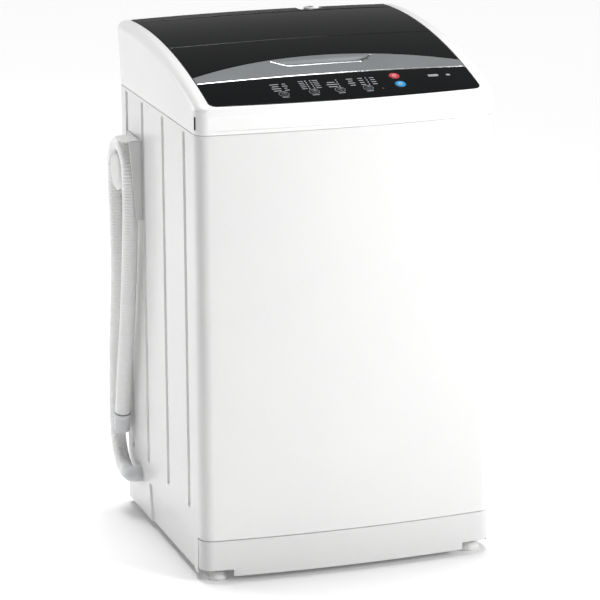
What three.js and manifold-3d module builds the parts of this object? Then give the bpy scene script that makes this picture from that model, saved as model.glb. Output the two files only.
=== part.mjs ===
// A compact top load washing machine, as the separate pieces that it is put together from.
// Millimetres, +X to the right, +Y to the back, +Z up. The origin is on the floor, under the middle.
import * as THREE from "three";
import { mergeVertices } from "three/addons/utils/BufferGeometryUtils.js";
import Module from "manifold-3d";

const wasm = await Module();
wasm.setup();

// ---- Driving dimensions ----
const WIDTH = 510; // across the cabinet sides
const DEPTH = 460; // side panels, front edge to rear edge
const HEIGHT = 867; // floor to the highest line of the lid
const FRONT_BOW = 15; // the front stands forward at its middle
const REAR_OVERHANG = 15; // the top cover leans back over the rear panel
const CORNER_R = 24; // vertical corners of the front
const REAR_CORNER_R = 8;
const SHEET = 1; // painted steel
const WALL = 3; // moulded plastic
const GAP = 0.3; // between pieces that touch
const BASE_Z = 10; // lower edge of the base over the floor
const KICK_HEIGHT = 65; // plastic kick plate under the front panel
const COVER_HEIGHT = 112; // top cover, seam to the highest line
const DECK_R = 1280; // radius of the arched top, seen from the side
const DECK_APEX_BACK = 60; // the highest line lies this far in front of the side panels' rear edge
const CROWN = 4; // the middle of the top over its sides

// ---- Top cover and lid ----
const RIM_SIDE = 24; // white rim beside the lid
const RIM_FRONT = 5;
const SHOULDER_SIDE = 14; // rounded outer shoulder
const SHOULDER_FRONT = 4;
const LIP = 12; // depth of the recess that the lid lies in
const LEDGE = 6; // width of the ledge that the lid rests on
const PANEL_SKIN = 3.2; // lid and panel thickness
const RAIL = 8; // width of the rails round a lid
const SEAT_DROP = 11.5; // underside of the rails below the surface
const SIDE_GAP = 1.5; // lid to rim
const SEAM_GAP = 0.8; // between the panels of the deck
const PANEL_DEPTH = 78; // control panel, from the front edge
const FRONT_LID_DEPTH = 160; // folding lid, front half
const REAR_LID_DEPTH = 189; // folding lid, rear half, to its hinge
const HINGE_DROP = 9; // rear hinge axis under the crown
const FOLD_DROP = 19.5; // middle hinge axis under the crown
const HINGE_PIN_R = 2.5;
const FOLD_PIN_R = 2;
const STRIP_EDGE_SIDE = 24; // silver strip, front to back at its ends
const STRIP_EDGE_MIDDLE = 74; // and at its middle
const MOUTH_R = 158; // loading mouth
const WELL_FLOOR = 12; // floor of the well above the seam
const COLLAR_HEIGHT = 40; // splash collar under the mouth
const COLLAR_FLANGE = 10;

// ---- Cabinet ----
const GROOVE_WIDTH = 18;
const GROOVE_DEPTH = 5.5;
const GROOVE_LOW = 111; // lower end of the stamped grooves
const GROOVE_CLEAR = 4; // upper end below the seam
const GROOVES_BACK = [73, 198, 322, 420]; // from the front edge
const RETURN_FLANGE = 20; // rear edge of the wrap, folded in
const FOOT_R = 20;
const FOOT_IN_X = 33; // foot axis in from the side
const FOOT_IN_Y = 30; // and from the front or rear edge

// ---- Tub, basket and drive ----
const TUB_CLEARANCE = 24; // tub to the cabinet's nearer wall
const TUB_WALL = 3;
const TUB_BOTTOM = 205;
const TUB_BELOW_SEAM = 65; // tub rim under the cover seam
const BASKET_CLEARANCE = 17; // basket to the inside of the tub
const BASKET_WALL = 1.5;
const BASKET_LIFT = 31; // basket bottom over the tub bottom
const RING_HEIGHT = 42; // balance ring
const RING_UNDER_RIM = 8; // balance ring under the tub rim
const RING_WIDTH = 32;
const PULSATOR_CLEARANCE = 34; // pulsator to the basket wall
const ROD_IN_X = 43; // suspension rod in from the side
const ROD_IN_Y = 40;
const ROD_R = 3;
const CUP_Z = 245; // cup at the foot of each rod
const CUP_R = 18;
const CUP_HEIGHT = 12;
const SPRING_LENGTH = 78;
const LUG_HEIGHT = 10;
const SHAFT_R = 8;
const SHAFT_CLEARANCE = 1.2;
const PULLEY_R = 62;
const MOTOR_PULLEY_R = 20;
const PULLEY_Z = 84;
const PULLEY_WIDTH = 14;
const PULLEY_DISTANCE = 138; // motor axis from the tub axis
const MOTOR_R = 52;
const BELT_THICKNESS = 4;

// ---- Drain hose ----
const HOSE_R = 13.5;
const HOSE_X = -273; // plane of the hose, beside the left panel
const ELBOW_R = 13;
const ELBOW_BACK = 372; // elbow and hose mouth, from the front edge
const HOSE_MOUTH_BACK = 390;
const ELBOW_Z = 78;

// ---- Derived ----
const HALF_W = WIDTH / 2;
const HALF_D = DEPTH / 2;
const FRONT_Y = -HALF_D;
const SEAM_Z = HEIGHT - COVER_HEIGHT;
const KICK_TOP = BASE_Z + KICK_HEIGHT;
const APEX_Y = HALF_D - DECK_APEX_BACK;
const REAR_Y = HALF_D + REAR_OVERHANG;
const LID_FRONT_Y = FRONT_Y + PANEL_DEPTH;
const FOLD_Y = LID_FRONT_Y + FRONT_LID_DEPTH;
const HINGE_Y = FOLD_Y + REAR_LID_DEPTH;
const LID_HALF = HALF_W - RIM_SIDE - SIDE_GAP;
const TUB_R = Math.min(HALF_W, HALF_D) - TUB_CLEARANCE;
const TUB_TOP = SEAM_Z - TUB_BELOW_SEAM;
const BASKET_R = TUB_R - TUB_WALL - BASKET_CLEARANCE;
const BASKET_BOTTOM = TUB_BOTTOM + BASKET_LIFT;
const RING_TOP = TUB_TOP - RING_UNDER_RIM;
const RING_BOTTOM = RING_TOP - RING_HEIGHT;
const PULSATOR_R = BASKET_R - PULSATOR_CLEARANCE;
const ROD_X = HALF_W - ROD_IN_X;
const ROD_Y = HALF_D - ROD_IN_Y;
const SPRING_LOW = CUP_Z + CUP_HEIGHT + GAP;
const LUG_Z = SPRING_LOW + SPRING_LENGTH + GAP;
const COLLAR_R = Math.min(MOUTH_R, BASKET_R - RING_WIDTH + 4);
const ELBOW_Y = FRONT_Y + ELBOW_BACK;
const HOSE_START_Y = FRONT_Y + HOSE_MOUTH_BACK;

// Height of the arched, crowned top surface.
function deckZ(x, y) {
  const along = y - APEX_Y;
  const arch = DECK_R - Math.sqrt(DECK_R * DECK_R - along * along);
  return HEIGHT - arch - CROWN * (x / HALF_W) ** 2;
}

// Slope of the top surface towards the front, as an angle.
function deckTilt(y) {
  return Math.asin((APEX_Y - y) / DECK_R);
}

// ---- Solids ----

// A manifold solid from any closed three.js geometry, turned to face out.
function solid(geometry) {
  const bare = new THREE.BufferGeometry();
  const source = geometry.index ? geometry.toNonIndexed() : geometry;
  bare.setAttribute("position", source.getAttribute("position"));
  const merged = mergeVertices(bare, 1e-4);
  const triVerts = new Uint32Array(merged.index.array);
  const vertProperties = merged.attributes.position.array;
  const made = new wasm.Manifold(new wasm.Mesh({ numProp: 3, vertProperties, triVerts }));
  if (made.volume() > 0) return made;
  for (let i = 0; i < triVerts.length; i += 3) {
    [triVerts[i + 1], triVerts[i + 2]] = [triVerts[i + 2], triVerts[i + 1]];
  }
  return new wasm.Manifold(new wasm.Mesh({ numProp: 3, vertProperties, triVerts }));
}

function geometryOf(manifold) {
  const mesh = manifold.getMesh();
  const positions = new Float32Array(mesh.numVert * 3);
  for (let i = 0; i < mesh.numVert; i++) {
    for (let k = 0; k < 3; k++) positions[3 * i + k] = mesh.vertProperties[mesh.numProp * i + k];
  }
  const geometry = new THREE.BufferGeometry();
  geometry.setAttribute("position", new THREE.BufferAttribute(positions, 3));
  geometry.setIndex(new THREE.BufferAttribute(new Uint32Array(mesh.triVerts), 1));
  geometry.computeVertexNormals();
  return geometry;
}

function join(solids) {
  return solids.reduce((whole, next) => whole.add(next));
}

// An outline of [x, y] points, raised from one height to another.
function prism(outline, low, high, holes = []) {
  const shape = new THREE.Shape(outline.map(([x, y]) => new THREE.Vector2(x, y)));
  for (const hole of holes) shape.holes.push(new THREE.Path(hole.map(([x, y]) => new THREE.Vector2(x, y))));
  const geometry = new THREE.ExtrudeGeometry(shape, { depth: high - low, bevelEnabled: false });
  return solid(geometry.translate(0, 0, low));
}

function box(x0, x1, y0, y1, z0, z1) {
  const geometry = new THREE.BoxGeometry(x1 - x0, y1 - y0, z1 - z0);
  return solid(geometry.translate((x0 + x1) / 2, (y0 + y1) / 2, (z0 + z1) / 2));
}

// A disc or pin standing on Z.
function post(x, y, radius, low, high, sides = 24) {
  const geometry = new THREE.CylinderGeometry(radius, radius, high - low, sides);
  geometry.rotateX(Math.PI / 2);
  return solid(geometry.translate(x, y, (low + high) / 2));
}

// A pin lying along X.
function pinAlongX(x0, x1, y, z, radius, sides = 16) {
  const geometry = new THREE.CylinderGeometry(radius, radius, x1 - x0, sides);
  geometry.rotateZ(Math.PI / 2);
  return solid(geometry.translate((x0 + x1) / 2, y, z));
}

// A closed profile of [radius, height] points, turned about Z.
function turned(profile, sides = 36) {
  const closed = [...profile, profile[0]].map(([r, z]) => new THREE.Vector2(r, z));
  const geometry = new THREE.LatheGeometry(closed, sides);
  geometry.rotateX(Math.PI / 2);
  return solid(geometry);
}

// Rings of equal count, joined in order; the two end rings are closed flat.
function loft(rings) {
  const count = rings[0].length;
  const corners = rings.flat();
  const faces = [];
  for (let r = 0; r + 1 < rings.length; r++) {
    for (let i = 0; i < count; i++) {
      const a = r * count + i;
      const b = r * count + ((i + 1) % count);
      faces.push(a, b, a + count, b, b + count, a + count);
    }
  }
  const flatten = (ring) => {
    const normal = new THREE.Vector3();
    for (let i = 1; i + 1 < count; i++) {
      const u = new THREE.Vector3().subVectors(ring[i], ring[0]);
      const v = new THREE.Vector3().subVectors(ring[i + 1], ring[0]);
      normal.add(u.cross(v));
    }
    const turn = new THREE.Quaternion().setFromUnitVectors(normal.normalize(), new THREE.Vector3(0, 0, 1));
    return ring.map((p) => {
      const q = p.clone().applyQuaternion(turn);
      return new THREE.Vector2(q.x, q.y);
    });
  };
  const last = (rings.length - 1) * count;
  for (const [a, b, c] of THREE.ShapeUtils.triangulateShape(flatten(rings[0]), [])) faces.push(a, c, b);
  for (const [a, b, c] of THREE.ShapeUtils.triangulateShape(flatten(rings[rings.length - 1]), [])) {
    faces.push(last + a, last + b, last + c);
  }
  const geometry = new THREE.BufferGeometry();
  geometry.setAttribute("position", new THREE.Float32BufferAttribute(corners.flatMap((p) => [p.x, p.y, p.z]), 3));
  geometry.setIndex(faces);
  return solid(geometry);
}

// Rings of equal count, joined in order and back to the first.
function loopLoft(rings) {
  const count = rings[0].length;
  const corners = rings.flat();
  const faces = [];
  for (let r = 0; r < rings.length; r++) {
    const next = ((r + 1) % rings.length) * count;
    for (let i = 0; i < count; i++) {
      const j = (i + 1) % count;
      faces.push(r * count + i, r * count + j, next + i, r * count + j, next + j, next + i);
    }
  }
  const geometry = new THREE.BufferGeometry();
  geometry.setAttribute("position", new THREE.Float32BufferAttribute(corners.flatMap((p) => [p.x, p.y, p.z]), 3));
  geometry.setIndex(faces);
  return solid(geometry);
}

function spread(from, to, steps) {
  return Array.from({ length: steps + 1 }, (_, i) => from + ((to - from) * i) / steps);
}

// Points of an arc, both ends included, angles in radians.
function arc(cx, cy, radius, from, to, steps) {
  return spread(from, to, steps).map((t) => [cx + radius * Math.cos(t), cy + radius * Math.sin(t)]);
}

// Plan outline of the cabinet: straight sides and rear, rounded corners, bowed front.
// Every call gives the same number of points, each with how much it faces sideways.
function planOutline({ side = 0, front = 0, rear = 0, overhang = 0, corner = CORNER_R, rearCorner = REAR_CORNER_R }) {
  const half = HALF_W - side;
  const back = HALF_D + overhang - rear;
  const bowR = (HALF_W * HALF_W + FRONT_BOW * FRONT_BOW) / (2 * FRONT_BOW) - front;
  const bowY = FRONT_Y - FRONT_BOW + front + bowR;
  const cornerX = half - corner;
  const cornerY = bowY - Math.sqrt((bowR - corner) ** 2 - cornerX ** 2);
  const meet = Math.atan2(cornerX, bowY - cornerY);
  const steps = 4;
  const left = [];
  for (const [i, [x, y]] of arc(-half + rearCorner, back - rearCorner, rearCorner, Math.PI / 2, Math.PI, 3).entries()) {
    left.push([x, y, i / 3]);
  }
  for (const y of spread(back - rearCorner, cornerY, 6).slice(1, -1)) left.push([-half, y, 1]);
  const turn = arc(-cornerX, cornerY, corner, Math.PI, 1.5 * Math.PI - meet, steps);
  for (const [i, [x, y]] of turn.entries()) left.push([x, y, 1 - i / steps]);
  const bow = arc(0, bowY, bowR, 1.5 * Math.PI - meet, 1.5 * Math.PI + meet, 10).slice(1, -1);
  const right = left.map(([x, y, s]) => [-x, y, s]).reverse();
  return [...left, ...bow.map(([x, y]) => [x, y, 0]), ...right];
}

function planPrism(insets, low, high) {
  return prism(planOutline(insets).map(([x, y]) => [x, y]), low, high);
}

// A panel of the arched top: from one depth to another, between two drops under the surface.
function slab(half, frontAt, rearAt, topDrop, lowDrop, steps = 4, columns = 8) {
  return loft(spread(-half, half, columns).map((x) => {
    const depths = spread(frontAt(x), rearAt(x), steps);
    const upper = depths.map((y) => new THREE.Vector3(x, y, deckZ(x, y) - topDrop));
    const lower = depths.map((y) => new THREE.Vector3(x, y, deckZ(x, y) - lowDrop));
    return [...upper, ...lower.reverse()];
  }));
}

// ---- Materials ----
function material(color, roughness, metalness = 0) {
  return new THREE.MeshStandardMaterial({ color, roughness, metalness });
}
const WHITE_PAINT = material(0xf2f3f4, 0.35);
const WHITE_PLASTIC = material(0xeeeff0, 0.4);
const BLACK_GLOSS = material(0x17181a, 0.12);
const SILVER = material(0xa9adb0, 0.3, 0.7);
const RED_KEY = material(0xd9484f, 0.35);
const BLUE_KEY = material(0x2a9bd8, 0.35);
const DARK_KEY = material(0x2c2e31, 0.4);
const GREY_PLASTIC = material(0xb9bcbf, 0.5);
const TUB_PLASTIC = material(0xd6dadc, 0.5);
const STAINLESS = material(0xc3c6c8, 0.25, 1);
const ZINC = material(0x9da2a6, 0.4, 0.9);
const CAST = material(0x777b80, 0.55, 0.6);
const RUBBER = material(0x1d1d1e, 0.8);
const BOARD = material(0x20653a, 0.5);
const HOSE_GREY = material(0xdfe1e2, 0.5);

const machine = new THREE.Group();
const drum = new THREE.Group();
machine.add(drum);

// Adds one piece: its name, its solid and its material.
function piece(name, made, look, parent = machine) {
  const mesh = new THREE.Mesh(geometryOf(made), look.clone());
  mesh.name = name;
  parent.add(mesh);
  return mesh;
}

// ---- Cabinet wrap: one sheet, bent round the front and both sides ----
const SIDES = [["left", -1], ["right", 1]];
const ENDS = [["front", -1], ["rear", 1]];
const KICK_WRAP = CORNER_R + 2; // the kick plate goes round the corners this far

// A stamping tool for the side sheet, from just outside the sheet down to its floor.
function stamping(sign, mouth, floor, depth, grow) {
  const at = (quad, x) => quad.map(([y, z]) => new THREE.Vector3(sign * x, y, z));
  const widened = (quad, by) => {
    const middleY = quad.reduce((sum, [y]) => sum + y, 0) / quad.length;
    const middleZ = quad.reduce((sum, [, z]) => sum + z, 0) / quad.length;
    return quad.map(([y, z]) => [y + Math.sign(y - middleY) * by, z + Math.sign(z - middleZ) * by]);
  };
  return loft([at(widened(mouth, grow), HALF_W + SHEET), at(widened(floor, grow), HALF_W - depth - grow)]);
}

function sideStampings(grow) {
  const tools = [];
  const bevel = 3.5;
  for (const [, sign] of SIDES) {
    for (const back of GROOVES_BACK) {
      const y = FRONT_Y + back * (DEPTH / 460);
      const half = GROOVE_WIDTH / 2;
      const top = SEAM_Z - GROOVE_CLEAR;
      const mouth = [[y - half, GROOVE_LOW], [y + half, GROOVE_LOW], [y + half, top], [y - half, top]];
      const inner = half - bevel;
      const floor = [[y - inner, GROOVE_LOW + 9], [y + inner, GROOVE_LOW + 9], [y + inner, top - 9], [y - inner, top - 9]];
      tools.push(stamping(sign, mouth, floor, GROOVE_DEPTH, grow));
    }
    const front = FRONT_Y + 58;
    const rear = FRONT_Y + 0.7 * DEPTH;
    const low = BASE_Z - 8;
    const high = KICK_TOP + 3;
    const mouth = [[front - 14, low], [rear - 17, low], [rear, high], [front, high]];
    const floor = [[front - 8, low], [rear - 23, low], [rear - 6, high - 8], [front + 6, high - 8]];
    tools.push(stamping(sign, mouth, floor, 3, grow));
  }
  return join(tools);
}

function cabinetWrap() {
  const low = BASE_Z + 2;
  const outside = planPrism({}, low, SEAM_Z).subtract(sideStampings(0));
  const inside = planPrism({ side: SHEET, front: SHEET, rear: SHEET, corner: CORNER_R - SHEET }, low - 5, SEAM_Z + 5);
  const shell = outside.subtract(inside.subtract(sideStampings(SHEET)));
  const opening = HALF_W - RETURN_FLANGE;
  const kick = box(-WIDTH, WIDTH, -DEPTH, FRONT_Y + KICK_WRAP, 0, KICK_TOP);
  const drain = pinAlongX(-HALF_W - 5, -HALF_W + 10, ELBOW_Y, ELBOW_Z, ELBOW_R + 1, 24);
  return shell.subtract(box(-opening, opening, HALF_D - 20, DEPTH, 0, HEIGHT)).subtract(kick).subtract(drain);
}
piece("cabinet_wrap", cabinetWrap(), WHITE_PAINT);

// ---- Rear panel: a stamped sheet behind the return flanges, with the cord's hole ----
const REAR_PANEL_Y = HALF_D - SHEET - GAP; // its outer face
const GLAND_X = HALF_W - 75;
const GLAND_Z = 130;

function rearPanel() {
  const half = HALF_W - REAR_CORNER_R - SHEET;
  const low = BASE_Z + 8;
  const high = SEAM_Z - 3;
  const swages = (grow) => {
    const made = [];
    for (const [z0, z1] of [[low + 60, SEAM_Z / 2 - 30], [SEAM_Z / 2 + 30, high - 60]]) {
      const reach = half - 60;
      const ring = (by, y) => [[-1, z0 + by], [1, z0 + by], [1, z1 - by], [-1, z1 - by]].map(
        ([s, z]) => new THREE.Vector3(s * (reach - by), y, z));
      made.push(loft([ring(-grow, REAR_PANEL_Y + 1), ring(8 - grow, REAR_PANEL_Y - 5 - grow)]));
    }
    return join(made);
  };
  const outside = box(-half, half, REAR_PANEL_Y - 12, REAR_PANEL_Y, low, high).subtract(swages(0));
  const inside = box(-half - 1, half + 1, REAR_PANEL_Y - 13, REAR_PANEL_Y - SHEET, low - 1, high + 1);
  const hole = post(0, 0, 9, -20, 20, 20).rotate([90, 0, 0]).translate([GLAND_X, REAR_PANEL_Y, GLAND_Z]);
  return outside.subtract(inside.subtract(swages(SHEET))).subtract(hole);
}
piece("rear_panel", rearPanel(), WHITE_PAINT);

function cordGland() {
  const made = turned([[0, 0], [12, 0], [12, 3], [9, 6], [9, 7.5], [0, 7.5]], 20)
    .add(post(0, 0, 8, -6, 1, 20));
  return made.rotate([-90, 0, 0]).translate([GLAND_X, REAR_PANEL_Y + GAP, GLAND_Z]);
}
piece("cord_gland", cordGland(), RUBBER);

// ---- Plastic base with the kick plate, and its feet ----
const FOOT_X = HALF_W - FOOT_IN_X;
const FOOT_Y = HALF_D - FOOT_IN_Y;
const NOTCH_HEIGHT = 12; // the kick plate is cut away over the front feet
const BLOCK_Z = BASE_Z + NOTCH_HEIGHT;
const BLOCK_TOP = KICK_TOP - 8;
const STUD_R = 5;

function plasticBase() {
  const joint = FRONT_Y + KICK_WRAP - SEAM_GAP;
  const apron = planPrism({ side: 0.6, front: 4 }, BASE_Z, KICK_TOP - SEAM_GAP)
    .intersect(box(-WIDTH, WIDTH, -DEPTH, joint, 0, HEIGHT));
  const inset = GROOVE_DEPTH + SHEET + GAP;
  const skirt = planPrism({ side: inset, front: 8, rear: 6 }, BASE_Z, KICK_TOP - SEAM_GAP);
  const hollow = planPrism({ side: inset + WALL, front: 8 + WALL, rear: 6 + WALL }, 0, HEIGHT);
  const blocks = [];
  for (const [, across] of SIDES) {
    for (const [, along] of ENDS) {
      const x = across * FOOT_X;
      const y = along * FOOT_Y;
      const out = FOOT_IN_X - inset - 1;
      const [x0, x1] = [x - 24, x + out * across].sort((a, b) => a - b);
      const left = across < 0 ? x0 : x - 24;
      const right = across < 0 ? x + 24 : x1;
      const near = along < 0 ? y - FOOT_IN_Y - 2 : y - 24;
      const far = along < 0 ? y + 24 : y + FOOT_IN_Y - 8;
      blocks.push(box(left, right, near, far, BLOCK_Z, BLOCK_TOP));
    }
  }
  const plan = planPrism({ side: inset, front: 4 + SHEET, rear: 6 }, BASE_Z, KICK_TOP - SEAM_GAP);
  const frame = apron.add(skirt).subtract(hollow).add(join(blocks).intersect(plan));
  const cuts = [];
  for (const [, across] of SIDES) {
    const [x0, x1] = [across * (HALF_W - 52), across * (HALF_W + 5)].sort((a, b) => a - b);
    cuts.push(box(x0, x1, FRONT_Y - 30, FRONT_Y + 52, 0, BLOCK_Z));
    cuts.push(box(x0, x1, HALF_D - 52, HALF_D + 5, 0, BLOCK_Z));
    for (const [, along] of ENDS) cuts.push(post(across * FOOT_X, along * FOOT_Y, STUD_R + 1, 0, BLOCK_TOP - 6, 16));
  }
  const drainSlot = box(-HALF_W - 5, -HALF_W + 30, ELBOW_Y - 17, ELBOW_Y + 17, ELBOW_Z - 17, HEIGHT);
  return frame.subtract(join(cuts)).subtract(drainSlot);
}

function foot() {
  const pad = turned([[0, 0], [FOOT_R - 2, 0], [FOOT_R, 2], [FOOT_R, 8], [FOOT_R - 6, 14], [0, 14]], 16);
  return pad.add(post(0, 0, STUD_R, 13, BLOCK_TOP - 14, 16));
}

piece("plastic_base", plasticBase(), WHITE_PLASTIC);
for (const [end, along] of ENDS) {
  for (const [side, across] of SIDES) {
    const mesh = piece("foot_" + end + "_" + side, foot(), WHITE_PLASTIC);
    mesh.position.set(across * FOOT_X, along * FOOT_Y, 0);
  }
}

// ---- Drain elbow, hook, hose and cuff on the left side ----

// The elbow leaves the side panel and turns to the rear, with the hose pushed into its mouth.
function drainElbow() {
  const path = new THREE.CurvePath();
  const inner = -HALF_W + 14;
  const corner = new THREE.Vector3(HOSE_X, ELBOW_Y, ELBOW_Z);
  const bend = 9;
  path.add(new THREE.LineCurve3(new THREE.Vector3(inner, ELBOW_Y, ELBOW_Z), corner.clone().setX(HOSE_X + bend)));
  path.add(new THREE.QuadraticBezierCurve3(
    corner.clone().setX(HOSE_X + bend), corner, corner.clone().setY(ELBOW_Y + bend)));
  path.add(new THREE.LineCurve3(corner.clone().setY(ELBOW_Y + bend), corner.clone().setY(HOSE_START_Y - GAP)));
  const section = new THREE.Shape(arc(0, 0, ELBOW_R, 0, 2 * Math.PI * 15 / 16, 15).map(([x, y]) => new THREE.Vector2(x, y)));
  return solid(new THREE.ExtrudeGeometry(section, { extrudePath: path, steps: 9, bevelEnabled: false }));
}
piece("drain_elbow", drainElbow(), GREY_PLASTIC);

const ARCH_Y = FRONT_Y + 391.5;
const ARCH_Z = 618;
const ARCH_R = 46.5;

// The route of the hose, from the elbow's mouth to its free end: distance from the front edge, height.
const HOSE_ROUTE = [
  [390, 78], [404, 78], [427, 87], [445, 105], [456, 127], [461, 155], [462, 200], [458, 250],
  [451, 305], [441, 365], [433, 425], [431, 485], [435, 545], [438, 590], [436, 630], [423.5, 652],
  [402, 663.5], [381, 663.5], [359.5, 652], [347, 630], [344, 590], [346, 545], [353, 485],
  [364, 425], [376, 365], [391, 305], [406, 250], [417, 205], [423, 178],
];
const HOSE_POINTS = HOSE_ROUTE.map(([back, z]) => new THREE.Vector3(HOSE_X, FRONT_Y + back, z));
const HOSE_END = HOSE_POINTS[HOSE_POINTS.length - 1];

function drainHose() {
  const path = new THREE.CatmullRomCurve3(HOSE_POINTS, false, "centripetal");
  const section = new THREE.Shape(arc(0, 0, HOSE_R, 0, 2 * Math.PI * 9 / 10, 9).map(([x, y]) => new THREE.Vector2(x, y)));
  return solid(new THREE.ExtrudeGeometry(section, { extrudePath: path, steps: 44, bevelEnabled: false }));
}
piece("drain_hose", drainHose(), HOSE_GREY);

function hoseCuff() {
  const before = HOSE_POINTS[HOSE_POINTS.length - 2];
  const along = new THREE.Vector3().subVectors(HOSE_END, before).normalize();
  const turn = new THREE.Quaternion().setFromUnitVectors(new THREE.Vector3(0, 0, 1), along);
  const profile = [[0, 0], [15.5, 0], [15.5, 5], [14.5, 7], [14.5, 34], [11, 34], [11, 3], [0, 3]];
  const points = [...profile, profile[0]].map(([r, z]) => new THREE.Vector2(r, z));
  const geometry = new THREE.LatheGeometry(points, 20);
  geometry.rotateX(Math.PI / 2);
  geometry.applyQuaternion(turn);
  const start = HOSE_END.clone().addScaledVector(along, 2 * GAP);
  return solid(geometry.translate(start.x, start.y, start.z));
}
piece("hose_cuff", hoseCuff(), GREY_PLASTIC);

// The hook: a plate on the side panel, a saddle under the hose's arch and a flange in front of it.
function hoseHook() {
  const face = -HALF_W - GAP;
  const out = HOSE_X - HOSE_R - 1;
  const outer = ARCH_R + HOSE_R + 1;
  const front = ARCH_Y - outer;
  const foot = ARCH_Z - 75;
  const top = ARCH_Z + outer;
  const plate = box(face - 3, face, front - 3, ARCH_Y + 20, foot, top + 3);
  const saddleR = ARCH_R - HOSE_R - 1;
  const saddle = post(0, 0, saddleR, 0, face - out, 32).subtract(post(0, 0, saddleR - 3, -1, face - out - 3, 32))
    .rotate([0, -90, 0]).translate([face - 0, ARCH_Y, ARCH_Z]);
  const roof = box(out, face, front - 3, ARCH_Y + 20, top, top + 3);
  const wide = face - out - 10;
  const flange = prism([[0, 0], [12, 0], [wide, top + 3 - foot], [0, top + 3 - foot]], 0, 3)
    .rotate([90, 0, 0]).rotate([0, 0, 180]).translate([face, front - 3, foot]);
  return join([plate, saddle, roof, flange]);
}
piece("hose_hook", hoseHook(), WHITE_PLASTIC);

// ---- Top cover: white frame, well under the lid, and the loading mouth ----
const WELL_Z = SEAM_Z + WELL_FLOOR;
const WELL_HALF = HALF_W - RIM_SIDE - LEDGE;
const WELL_FRONT_Y = LID_FRONT_Y + 6;
const WELL_REAR_Y = HINGE_Y + HINGE_DROP + 2;
const SPOUT_X = 88;
const SPOUT_R = 10.5;
const SPOUT_Y = REAR_Y - 12;
const NOTCH_HALF = 21.5;

function coverRings() {
  const mix = (front, side, s) => front + (side - front) * s;
  const rings = [];
  // Each ring: insets at the sides and at the front and rear, and drops under the surface there.
  const add = (sideIn, endIn, sideDrop, endDrop, overhang = REAR_OVERHANG, seam = false) => {
    const corner = Math.max(CORNER_R - Math.min(sideIn, 2 * endIn), 9);
    const rearCorner = Math.max(REAR_CORNER_R - Math.min(sideIn, endIn), 4);
    const plan = planOutline({ side: sideIn, front: endIn, rear: endIn, overhang, corner, rearCorner });
    rings.push(plan.map(([x, y, s]) => {
      const z = seam ? SEAM_Z + GAP : deckZ(x, y) - mix(endDrop, sideDrop, s);
      return new THREE.Vector3(x, y, z);
    }));
  };
  add(0, 0, 0, 0, 0, true);
  for (const turn of spread(0, Math.PI / 2, 3)) {
    const inset = 1 - Math.cos(turn);
    const drop = 1 - Math.sin(turn);
    add(SHOULDER_SIDE * inset, SHOULDER_FRONT * inset, SHOULDER_SIDE * drop, SHOULDER_FRONT * drop);
  }
  add(RIM_SIDE, RIM_FRONT, 0, 0);
  add(RIM_SIDE, RIM_FRONT, LIP, LIP);
  add(RIM_SIDE + LEDGE, RIM_FRONT + LEDGE, LIP, LIP);
  add(RIM_SIDE + LEDGE, RIM_FRONT + LEDGE, LIP + WALL, LIP + WALL);
  add(RIM_SIDE - WALL, RIM_FRONT - 0.4, LIP + WALL, LIP + WALL);
  add(RIM_SIDE - WALL, RIM_FRONT - 1, WALL, LIP + WALL + 0.6);
  add(SHOULDER_SIDE, RIM_FRONT - 1.5, WALL, LIP + WALL + 1.2);
  add(WALL, WALL, SHOULDER_SIDE + 1, LIP + WALL + 2);
  add(WALL, WALL, 0, 0, 0, true);
  return rings;
}

function topCover() {
  const frame = loopLoft(coverRings());
  const floor = planPrism({ side: 2, front: 2, rear: 2 }, WELL_Z, WELL_Z + WALL);
  const wellRect = (grow) => {
    const x = WELL_HALF + grow;
    return [[-x, WELL_FRONT_Y - grow], [x, WELL_FRONT_Y - grow], [x, WELL_REAR_Y + grow], [-x, WELL_REAR_Y + grow]];
  };
  const under = slab(HALF_W - 1, () => FRONT_Y - FRONT_BOW, () => REAR_Y, LIP + GAP, COVER_HEIGHT + 60, 8);
  const walls = prism(wellRect(WALL), WELL_Z, HEIGHT, [wellRect(0).reverse()]);
  const mouth = post(0, 0, COLLAR_R, WELL_Z - 1, WELL_Z + WALL + 1, 36);
  const whole = frame.add(floor.add(walls).intersect(under)).subtract(mouth);
  const cuts = [
    slab(HALF_W - RIM_SIDE - GAP, () => HINGE_Y + HINGE_DROP - 3, () => REAR_Y + 5, -8, LIP + GAP, 4),
    box(SPOUT_X - NOTCH_HALF, SPOUT_X + NOTCH_HALF, SPOUT_Y - 14, REAR_Y + 5, HEIGHT - 42, HEIGHT + 5),
  ];
  for (const [, across] of SIDES) {
    const [x0, x1] = [across * (WELL_HALF - 1), across * (HALF_W - RIM_SIDE - 0.1)].sort((a, b) => a - b);
    cuts.push(box(x0, x1, HINGE_Y - 14, WELL_REAR_Y, hingeZ() - 12, HEIGHT));
    const [p0, p1] = [across * (WELL_HALF - 1), across * (HALF_W - RIM_SIDE + WALL + 1)].sort((a, b) => a - b);
    cuts.push(pinAlongX(p0, p1, HINGE_Y, hingeZ(), HINGE_PIN_R + 0.25));
  }
  cuts.push(box(-HALF_W - 1, -HALF_W + 6, FRONT_Y + 11.5, FRONT_Y + 14.5, SEAM_Z + 8, SEAM_Z + 30));
  return cuts.reduce((made, cut) => made.subtract(cut), whole);
}

// Axes of the two lid hinges, both along X.
function hingeZ() {
  return deckZ(0, HINGE_Y) - HINGE_DROP;
}
function foldZ() {
  return deckZ(0, FOLD_Y) - FOLD_DROP;
}
piece("top_cover", topCover(), WHITE_PLASTIC);

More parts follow.
